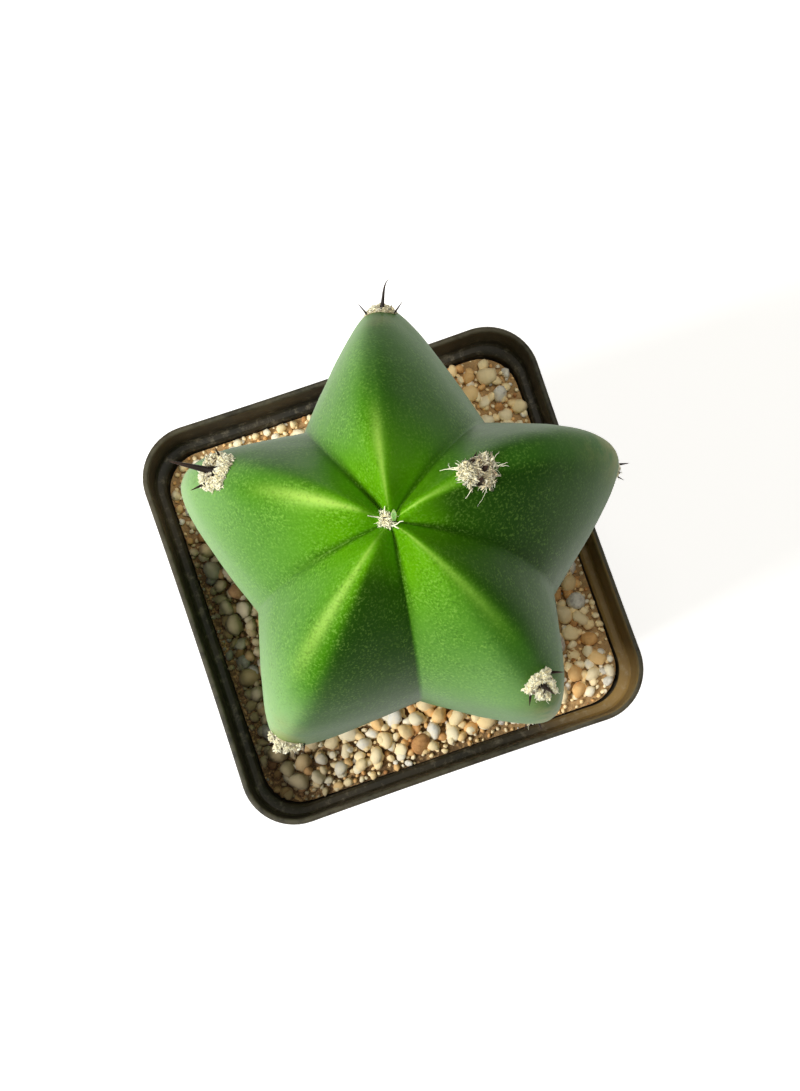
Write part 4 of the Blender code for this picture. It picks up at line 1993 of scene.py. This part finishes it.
@dataclass
class Strands:
    """Paths that a rule turns into thin tubes: spines, hairs and wisps."""

    points: list[Array] = field(default_factory=list)
    girths: list[Array] = field(default_factory=list)
    tips: list[Array] = field(default_factory=list)
    tones: list[Array] = field(default_factory=list)

    def add(self, path: Array, girth: Array, tone: float = 0.3) -> None:
        """Add one path with the tube's radius along it.

        Args:
            path: one point a row.
            girth: the tube's radius at each point.
            tone: how tan it is, from 0 to 1.
        """
        self.points.append(path)
        self.girths.append(girth)
        self.tips.append(np.linspace(0.0, 1.0, len(path)) ** 3)
        self.tones.append(np.full(len(path), tone))

    def mesh(self) -> Mesh:
        """All paths as one mesh of loose edges.

        Returns:
            The mesh, with girth, tip and tone on its points.
        """
        edges = []
        start = 0
        for path in self.points:
            edges += [(start + i, start + i + 1) for i in range(len(path) - 1)]
            start += len(path)
        return mesh_from(
            "strand_paths",
            np.vstack(self.points),
            edges=edges,
            girth=np.concatenate(self.girths),
            tip=np.concatenate(self.tips),
            tone=np.concatenate(self.tones),
        )

    @staticmethod
    def rule(sides: int) -> Rule:
        """The tree that sweeps a circle along each path.

        Args:
            sides: the number of sides of the circle.

        Returns:
            The finished tree.
        """
        rule = Rule(f"swept_strands_{sides}")
        curves = rule.value("GeometryNodeMeshToCurve", "Curve", {"Mesh": rule.source})
        tubes = rule.sweep(curves, rule.size("Sides", sides, whole=True), rule.attribute("girth"))
        rule.close(rule.change("SetShadeSmooth", tubes))
        return rule


@dataclass
class AreoleSet:
    """All the areoles: felt pads, wool, spines, stray hairs and the apex tuft with its bud."""

    stem: Stem
    areoles: tuple[Areole, ...]
    fibre_finish: Wool = Wool("wool_fibre", srgb(255, 252, 222), srgb(250, 238, 192), srgb(120, 84, 50))
    felt_finish: Wool = Wool("wool_felt", srgb(252, 244, 204), srgb(244, 230, 180), srgb(62, 38, 20))
    sink: float = 0.0006
    seed: int = 5
    pad_rows: int = 9
    pad_columns: int = 28
    pad_lumps: float = 0.16
    pad_grain: float = 1.6
    pad_skirt: float = 0.12
    spine_clearing: float = 0.50
    spine_steps: int = 12
    spine_sides: int = 8
    spine_point: float = 0.03
    flare_length: float = 1.1
    fibre_lengths: Span = (0.55, 1.20)
    hair_steps: int = 9
    hair_sides: int = 4
    hair_spread: float = 0.8
    hair_root: float = 0.2
    hair_slant: Span = (0.6, 1.2)
    areole_hair: HairStyle = HairStyle((0.7, 1.9), (0.045, 0.02), 0.22, (0.1, 0.6), 0.6)
    tuft_hair: HairStyle = HairStyle((0.8, 1.7), (0.06, 0.03), 0.25, (0.1, 0.9), 0.5)
    tuft_reach: Span = (0.1, 0.8)
    tuft_middle: Triple = (-0.3, 0.5, 0.4)
    tuft_wisp_girth: Span = (0.17, 0.07)
    wisp_sway: float = 0.06
    wisp_taper: float = 0.35
    strand_variants: int = 8
    tuft: Lobe = Lobe(-0.65, -0.55, 1.0, 1.1, 0.55)
    tuft_fibre: float = 0.9
    tuft_hairs: int = 22
    bud_foot: Triple = (0.50, -0.25, 0.45)
    bud_heading: float = 71.0
    bud_length: float = 0.0017
    bud_width: float = 0.00085
    bud_arch: float = 0.55
    bud_cup: float = 0.35
    bud_thickness: float = 0.00014
    tuft_wisps: tuple[tuple[Triple, ...], ...] = (
        ((-0.6, -0.4, 0.4), (0.1, -0.9, 0.7), (0.8, -0.9, 1.0), (1.3, -0.75, 1.5), (1.8, -0.9, 1.9)),
        ((-0.9, 0.6, 0.6), (-1.7, 1.1, 1.0), (-2.5, 1.4, 1.6), (-3.0, 1.6, 2.1)),
        ((-0.4, 1.1, 0.6), (-0.3, 1.8, 1.1), (-0.1, 2.2, 1.7)),
        ((-0.9, 0.2, 0.5), (-1.5, -0.1, 0.9), (-2.0, -0.2, 1.5)),
        ((0.2, -0.8, 0.6), (0.5, -1.3, 1.0), (0.8, -1.7, 1.6)),
    )

    @property
    def apex(self) -> Vector:
        """The lowest point of the dip between the ribs."""
        return Vector((0.0, 0.0, float(self.stem.sizes.top) - float(self.stem.sizes.apex_dip)))

    def pad_shape(self, lobe: Lobe, grain: float) -> tuple[Array, Array, Array, Faces]:
        """A lumpy dome as places and heights in metres, with its faces; it starts at its crown.

        Args:
            lobe: the pad's middle, half widths and height.
            grain: picks the lumps.

        Returns:
            Places down and aside, heights, and faces.
        """
        down, aside, lift = [lobe.down], [lobe.aside], [lobe.rise]
        faces: Faces = []
        for row in range(1, self.pad_rows + 1):
            tilt = math.pi / 2 * row / self.pad_rows
            for column in range(self.pad_columns):
                turn = math.tau * column / self.pad_columns
                probe = Vector((math.cos(turn) * tilt, math.sin(turn) * tilt, grain)) * self.pad_grain
                lump = 1 + self.pad_lumps * noise.noise(probe)
                reach = math.sin(tilt) * lump
                down.append(lobe.down + lobe.along * math.cos(turn) * reach)
                aside.append(lobe.aside + lobe.across * math.sin(turn) * reach)
                skirt = self.pad_skirt * (row == self.pad_rows)
                lift.append(lobe.rise * math.cos(tilt) * lump - skirt)
        for column in range(self.pad_columns):
            beside = (column + 1) % self.pad_columns
            faces.append((0, 1 + column, 1 + beside))
            for row in range(self.pad_rows - 1):
                near, far = 1 + row * self.pad_columns, 1 + (row + 1) * self.pad_columns
                faces.append((near + column, far + column, far + beside, near + beside))
            last = 1 + (self.pad_rows - 1) * self.pad_columns
            faces.append((last + column, 1 + self.pad_rows * self.pad_columns, last + beside))
        down.append(lobe.down)
        aside.append(lobe.aside)
        lift.append(-self.sink / MM)
        return np.array(down) * MM, np.array(aside) * MM, np.array(lift) * MM, faces

    def bareness(self, areole: Areole, lobe: Lobe, down: Array, aside: Array) -> Array:
        """How bare a pad is at its places, which also sets where dark shade is painted on it: wholly so
        round the foot of each spine.

        Args:
            areole: the areole.
            lobe: its pad.
            down, aside: the places, in metres.

        Returns:
            0 where it is woolly and 1 where it is bare.
        """
        bare = np.full(len(down), lobe.bare)
        for spine in areole.habit.spines:
            away = np.hypot(down / MM - spine.down, aside / MM - spine.aside)
            edge = spine.radius * (1.0 + spine.flare)
            near = 1.0 - smoothstep(edge, edge + self.spine_clearing, away)
            bare = np.maximum(bare, near)
        return bare

    def felt(self) -> Object:
        """The pads that the wool stands on, bare where they meet the skin.

        Returns:
            All the pads as one piece.
        """
        pads = []
        for number, areole in enumerate(self.areoles):
            for part, lobe in enumerate(areole.habit.lobes):
                down, aside, lift, faces = self.pad_shape(lobe, number * 3.1 + part * 1.7)
                bare = self.bareness(areole, lobe, down, aside)
                pads.append((self.stem.lay(areole, down, aside, lift), faces, bare, areole.habit.fibre))
        x, y, z, faces = self.pad_shape(self.tuft, 0.4)
        placed = np.column_stack([x, -y, z]) + np.array(self.apex)
        pads.append((placed, [face[::-1] for face in faces], np.zeros(len(placed)), self.tuft_fibre))
        points, groups, bares, fibres = zip(*pads)
        size = len(placed)
        inner = np.arange(size) < size - 1 - self.pad_columns
        starts = [(size * pad, group) for pad, group in enumerate(groups)]
        mesh = mesh_from(
            "areole_felt",
            np.vstack(points),
            [tuple(start + corner for corner in face) for start, group in starts for face in group],
            # age carries the bareness, which paints dark shade on the bare felt.
            age=np.concatenate(bares),
            fluff=np.repeat(np.array(fibres) * MM, size),
            shown=np.concatenate([np.where(inner, 1.0 - bare, 0.0) for bare in bares]),
            tone=np.full(size * len(pads), 0.6),
        )
        face_outwards(mesh)
        return new_object("areole_felt", mesh)

    def wool_rule(self) -> Rule:
        """The tree that lays bent fibres over the pads.

        Returns:
            The finished tree.
        """
        rule = Rule("felted_wool")
        density = rule.size("Density", 2.6e7)
        thin = rule.size("Thin", 0.00003)
        thick = rule.size("Thick", 0.000052)
        steep = rule.size("Steepest Tilt", 1.10)
        flat = rule.size("Flattest Tilt", 1.56)
        seed = rule.size("Seed", 3, whole=True)
        scatter = rule.node(
            "GeometryNodeDistributePointsOnFaces",
            {"Mesh": rule.source, "Density": density * rule.attribute("shown"), "Seed": seed},
        )
        tilt, turn = rule.random(steep, flat, seed + 1.0), rule.random(0.0, math.tau, seed + 6.0)
        angles = {"Euler": rule.vector(tilt, 0.0, turn)}
        local = rule.value("FunctionNodeEulerToRotation", "Rotation", angles)
        turns = {"Rotation": scatter.outputs["Rotation"], "Rotate By": local}
        turned = rule.value("FunctionNodeRotateRotation", "Rotation", turns, rotation_space="LOCAL")
        length = rule.random(*self.fibre_lengths, seed + 2.0) * rule.attribute("fluff")
        girth = rule.random(thin, thick, seed + 3.0)
        fibres = rule.place_any(
            [self.fibre(rule, variant) for variant in range(self.strand_variants)],
            seed + 4.0,
            seed + 5.0,
            Points=scatter.outputs["Points"],
            Rotation=turned,
            Scale=rule.vector(girth, girth, length),
        )
        rule.close(rule.change("SetShadeSmooth", rule.change("RealizeInstances", fibres)))
        return rule

    @staticmethod
    def fibre(rule: Rule, variant: int) -> Field:
        """One bent fibre of unit length and girth, as an instance.

        Args:
            rule: the tree that it is in.
            variant: picks its bend.

        Returns:
            The instance.
        """
        bend = 3.0 + 2.2 * variant
        turn = variant * 2.4
        inputs = {
            "Resolution": 4,
            "Start": (0.0, 0.0, 0.0),
            "Middle": (bend * math.cos(turn), bend * math.sin(turn), 0.55),
            "End": (-bend * 0.4 * math.sin(turn), bend * 0.4 * math.cos(turn), 1.0),
        }
        curve = rule.value("GeometryNodeCurveQuadraticBezier", "Curve", inputs)
        along = rule.value("GeometryNodeSplineParameter", "Factor")
        return rule.instance(rule.sweep(curve, 3, 1.0 - along * 0.55))

    def spine_path(self, areole: Areole, spine: Spine) -> tuple[Array, Array]:
        """The points of one spine and its radius along them.

        Args:
            areole: the areole.
            spine: one of its spines.

        Returns:
            One point a row, and the radii.
        """
        _, outward, down, side = self.stem.frame_at(areole)
        place = (np.array([value * MM]) for value in (spine.down, spine.aside, -self.sink / MM))
        start = Vector(self.stem.lay(areole, *place)[0])
        tilt = (outward + down * spine.lean_down + side * spine.lean_aside).normalized()
        length = spine.length * MM + self.sink
        shares = np.linspace(0.0, 1.0, self.spine_steps) ** 1.2
        points = []
        for share in shares:
            curve = down * (spine.bend * share**2 * length) + side * (spine.hook * share**8 * length)
            points.append(start + tilt * (length * share) + curve)
        taper = np.clip(1.0 - shares**1.6, self.spine_point, 1.0) ** 0.7
        flare = spine.flare * bell(shares * spine.length, self.flare_length)
        return np.array(points), spine.radius * MM * taper * (1.0 + flare)

    def spines(self) -> Object:
        """Every spine, as one piece.

        Returns:
            The finished piece.
        """
        strands = Strands()
        for areole in self.areoles:
            for spine in areole.habit.spines:
                strands.add(*self.spine_path(areole, spine))
        return Strands.rule(self.spine_sides).run("spines", strands.mesh(), SpineHorn().material())

    def add_hair(
        self, strands: Strands, start: Vector, way: Vector, style: HairStyle, draw: np.random.Generator
    ) -> None:
        """Add a wandering hair from a start in a direction.

        Args:
            strands: take the hair.
            start: its root.
            way: its first direction.
            style: its length, girth, wandering and tone.
            draw: gives the random numbers.
        """
        points = [start]
        direction = way.normalized()
        length = draw.uniform(*style.length) * MM
        for _ in range(self.hair_steps):
            direction = (direction + Vector(draw.normal(0.0, style.curl, 3))).normalized()
            points.append(points[-1] + direction * (length / self.hair_steps))
        girth = np.linspace(*style.girth, len(points)) * MM
        strands.add(np.array(points), girth, draw.uniform(0.0, style.darkest))

    def wisp_path(self, areole: Areole, wisp: Wisp, draw: np.random.Generator) -> Array:
        """A long hair that lies on the skin and lifts a little at its end.

        Args:
            areole: the areole.
            wisp: one of its wisps.
            draw: gives the random numbers.

        Returns:
            One point a row.
        """
        shares = np.linspace(0.0, 1.0, self.hair_steps)
        sway = np.cumsum(draw.normal(0.0, self.wisp_sway, (self.hair_steps, 2)), axis=0)
        down = wisp.start[0] + (wisp.end[0] - wisp.start[0]) * shares + sway[:, 0]
        aside = wisp.start[1] + (wisp.end[1] - wisp.start[1]) * shares + sway[:, 1]
        lift = 0.15 + 0.5 * np.sin(shares * 2.4)
        return self.stem.lay(areole, down * MM, aside * MM, lift * MM)

    def hairs(self) -> Object:
        """Wisps and stray hairs at the areoles and the apex.

        Returns:
            The finished piece.
        """
        draw = np.random.default_rng(self.seed)
        strands = Strands()
        for areole in self.areoles:
            for wisp in areole.habit.wisps:
                path = self.wisp_path(areole, wisp, draw)
                girth = np.linspace(wisp.girth, wisp.girth * self.wisp_taper, len(path)) * MM
                strands.add(path, girth, 0.1)
            _, outward, down, side = self.stem.frame_at(areole)
            lobes = areole.habit.lobes
            for hair in range(areole.habit.hairs):
                lobe = lobes[hair % len(lobes)]
                turn = draw.uniform(0.0, math.tau)
                at = np.array([lobe.down + lobe.along * self.hair_spread * math.cos(turn)])
                beside = np.array([lobe.aside + lobe.across * self.hair_spread * math.sin(turn)])
                root = np.array([self.hair_root * MM])
                start = self.stem.lay(areole, at * MM, beside * MM, root)[0]
                flat = down * math.cos(turn) + side * math.sin(turn)
                flat = flat * draw.uniform(*self.hair_slant)
                way = flat + outward * draw.uniform(*self.areole_hair.rise)
                self.add_hair(strands, Vector(start), way, self.areole_hair, draw)
        for _ in range(self.tuft_hairs):
            turn = draw.uniform(0.0, math.tau)
            flat = Vector((math.cos(turn), math.sin(turn), 0.0))
            start = self.apex + flat * (draw.uniform(*self.tuft_reach) * MM)
            start = start + Vector(self.tuft_middle) * MM
            way = flat + Vector((0.0, 0.0, draw.uniform(*self.tuft_hair.rise)))
            self.add_hair(strands, start, way, self.tuft_hair, draw)
        for route in self.tuft_wisps:
            path = np.array([self.apex + Vector((x, y, z)) * MM for x, y, z in route])
            strands.add(path, np.linspace(*self.tuft_wisp_girth, len(path)) * MM, 0.05)
        rule = Strands.rule(self.hair_sides)
        return rule.run("stray_hairs", strands.mesh(), self.fibre_finish.material())

    def bud(self) -> Object:
        """The newest scale at the apex, a small leaflet that leans over the tuft.

        Returns:
            The finished piece.
        """
        rows, columns = 10, 14
        points, faces, edge = [], [], []
        heading = math.radians(self.bud_heading)
        ahead = Vector((math.cos(heading), math.sin(heading), 0.0))
        beside = Vector((-math.sin(heading), math.cos(heading), 0.0))
        foot = self.apex + Vector(self.bud_foot) * MM
        for row in range(rows + 1):
            share = row / rows
            arch = Vector((0, 0, self.bud_length * self.bud_arch * math.sin(2.2 * share)))
            midrib = foot + ahead * (self.bud_length * share) + arch
            width = self.bud_width / 2 * max(0.06, math.sin(math.pi * (0.10 + share * 0.88))) ** 0.7
            for column in range(columns):
                turn = math.tau * column / columns
                cup = self.bud_cup * width * math.cos(turn) ** 2
                height = self.bud_thickness * math.sin(turn) + cup
                points.append(midrib + beside * (width * math.cos(turn)) + Vector((0, 0, height)))
                edge.append(max(abs(math.cos(turn)) ** 4, share**4))
        for row in range(rows):
            faces += band(row * columns, (row + 1) * columns, columns)
        faces.append(tuple(reversed(range(columns))))
        faces.append(tuple(range(rows * columns, (rows + 1) * columns)))
        mesh = mesh_from("apex_bud", np.array(points), faces, edge=np.array(edge))
        face_outwards(mesh)
        mesh.materials.append(BudGreen().material())
        return new_object("apex_bud", mesh)

    def build(self) -> list[Object]:
        """Make every part of the areoles and dress it.

        Returns:
            The finished pieces.
        """
        felt = self.felt()
        wool = self.wool_rule().run("areole_wool", felt.data.copy(), self.fibre_finish.material())
        felt.data.materials.append(self.felt_finish.material())
        pieces = [felt, wool, self.spines(), self.hairs(), self.bud()]
        for piece in pieces:
            shade(piece)
            mount(piece, "cactus")
        return pieces


@dataclass(frozen=True)
class AreaLamp:
    """A soft rectangular light aimed at the plant."""

    name: str
    azimuth: float
    elevation: float
    distance: float
    width: float
    height: float
    watts: float
    colour: Triple = (1.0, 1.0, 1.0)

    def build(self, target: Vector) -> Object:
        """Place the light around the target.

        Args:
            target: the point that it faces.

        Returns:
            The light.
        """
        data = bpy.data.lights.new(self.name, "AREA")
        data.shape = "RECTANGLE"
        data.size = self.width
        data.size_y = self.height
        data.energy = self.watts
        data.color = self.colour
        turn, rise = math.radians(self.azimuth), math.radians(self.elevation)
        way = Vector((math.cos(rise) * math.cos(turn), math.cos(rise) * math.sin(turn), math.sin(rise)))
        lamp = bpy.data.objects.new(self.name, data)
        lamp.location = target + way * self.distance
        lamp.rotation_euler = (-way).to_track_quat("-Z", "Y").to_euler()
        bpy.context.scene.collection.objects.link(lamp)
        return lamp


@dataclass(frozen=True)
class Studio:
    """Floor, world, lights and the camera at the photograph's viewing angle."""

    look_elevation: float = 83.0
    look_heading: float = 18.933
    look_distance: float = 0.423
    target: Triple = (0.0030, 0.004145, 0.072)
    lens: float = 76.58
    sensor: float = 36.0
    floor_side: float = 16.0
    world_strength: float = 0.08
    lamps: tuple[AreaLamp, ...] = (
        AreaLamp("key", 189.0, 44.0, 1.1, 0.36, 0.36, 12.4, (1.0, 0.99, 0.96)),
        AreaLamp("sky", 50.0, 80.0, 1.2, 0.50, 0.50, 6.2, (1.0, 0.96, 0.86)),
    )

    def floor(self) -> Object:
        """A large pale floor.

        Returns:
            The floor.
        """
        corners = ((-1, -1, 0), (1, -1, 0), (1, 1, 0), (-1, 1, 0))
        mesh = mesh_from("floor", np.array(corners) * (self.floor_side / 2), [(0, 1, 2, 3)])
        mesh.materials.append(PaleFloor().material())
        floor = new_object("floor", mesh)
        return floor

    def world(self) -> None:
        """Even pale light from all round."""
        world = bpy.data.worlds.new("studio")
        bpy.context.scene.world = world
        world.use_nodes = True
        background = world.node_tree.nodes["Background"]
        background.inputs["Color"].default_value = (1.0, 1.0, 1.0, 1.0)
        background.inputs["Strength"].default_value = self.world_strength

    def camera(self) -> Object:
        """The camera, which looks steeply down along its heading.

        Returns:
            The camera.
        """
        data = bpy.data.cameras.new("camera")
        data.lens = self.lens
        data.sensor_width = self.sensor
        rise, heading = math.radians(self.look_elevation), math.radians(self.look_heading)
        level = math.cos(rise)
        forward = Vector((level * math.sin(heading), level * math.cos(heading), -math.sin(rise)))
        right = Vector((math.cos(heading), -math.sin(heading), 0.0))
        upward = right.cross(forward)
        camera = bpy.data.objects.new("camera", data)
        axes = Matrix((right, upward, -forward)).transposed().to_4x4()
        place = Vector(self.target) - forward * self.look_distance
        camera.matrix_world = Matrix.Translation(place) @ axes
        bpy.context.scene.collection.objects.link(camera)
        bpy.context.scene.camera = camera
        return camera

    def build(self) -> None:
        """Set up everything around the object."""
        self.floor()
        self.world()
        self.camera()
        for lamp in self.lamps:
            lamp.build(Vector(self.target))
        bpy.context.scene.view_settings.view_transform = "Standard"


# After each rib's tongue come the painted shade on its two flanks, then the strength and the offset of
# its painted highlights.
RIBS = (
    Rib(2.3, 11.5, 0.0399, 32.5, 37.0, 0.0250, 0.0022, 1.0, 0.35),
    Rib(73.3, 81.0, 0.0381, 109.9, 112.0, 0.0229, 0.0055, gleam=0.60, aside=-0.05),
    Rib(145.2, 143.5, 0.0357, 189.0, 186.0, 0.0244, 0.0100, gleam=0.90, aside=0.10),
    Rib(222.0, 221.5, 0.0363, 262.0, 264.0, 0.0260, 0.0155, 0.0, 1.0, aside=-0.15),
    Rib(293.8, 299.0, 0.0388, 323.4, 335.0, 0.0280, 0.0110, 0.0, 0.6, aside=0.07),
)
RIB_SKIP = 2
AREOLE_PITCH = 0.0070
AREOLE_COUNT = 10
YOUNG_AREOLES = (
    (0.0024, Growth.BUDDING),
    (0.0140, Growth.DAGGER),
    (0.0160, Growth.SHORT),
    (0.0250, Growth.TIP),
    (0.0330, Growth.HANGING),
)


def areoles() -> tuple[Areole, ...]:
    """Every areole above the grit, youngest first, each two ribs on from the last.

    Returns:
        The areoles.
    """
    found = []
    for age in range(AREOLE_COUNT):
        rib = (RIB_SKIP * age) % len(RIBS)
        if age < len(YOUNG_AREOLES):
            drop, growth = YOUNG_AREOLES[age]
        else:
            drop = YOUNG_AREOLES[-1][0] + (age - len(YOUNG_AREOLES) + 1) * AREOLE_PITCH
            growth = Growth.OLD
        found.append(Areole(rib, drop, HABITS[growth]))
    return tuple(found)


def main() -> None:
    """Build the pot, its filling, the stem and its areoles, and set up the studio."""
    logging.basicConfig(level=logging.INFO, format="%(name)s %(message)s")
    growth = areoles()
    pot = NurseryPot()
    pot.build()
    stem = Stem(RIBS, growth)
    stem.build()
    GritFilling(pot.sizes, stem).build()
    AreoleSet(stem, growth).build()
    Studio().build()


if __name__ == "__main__":
    main()
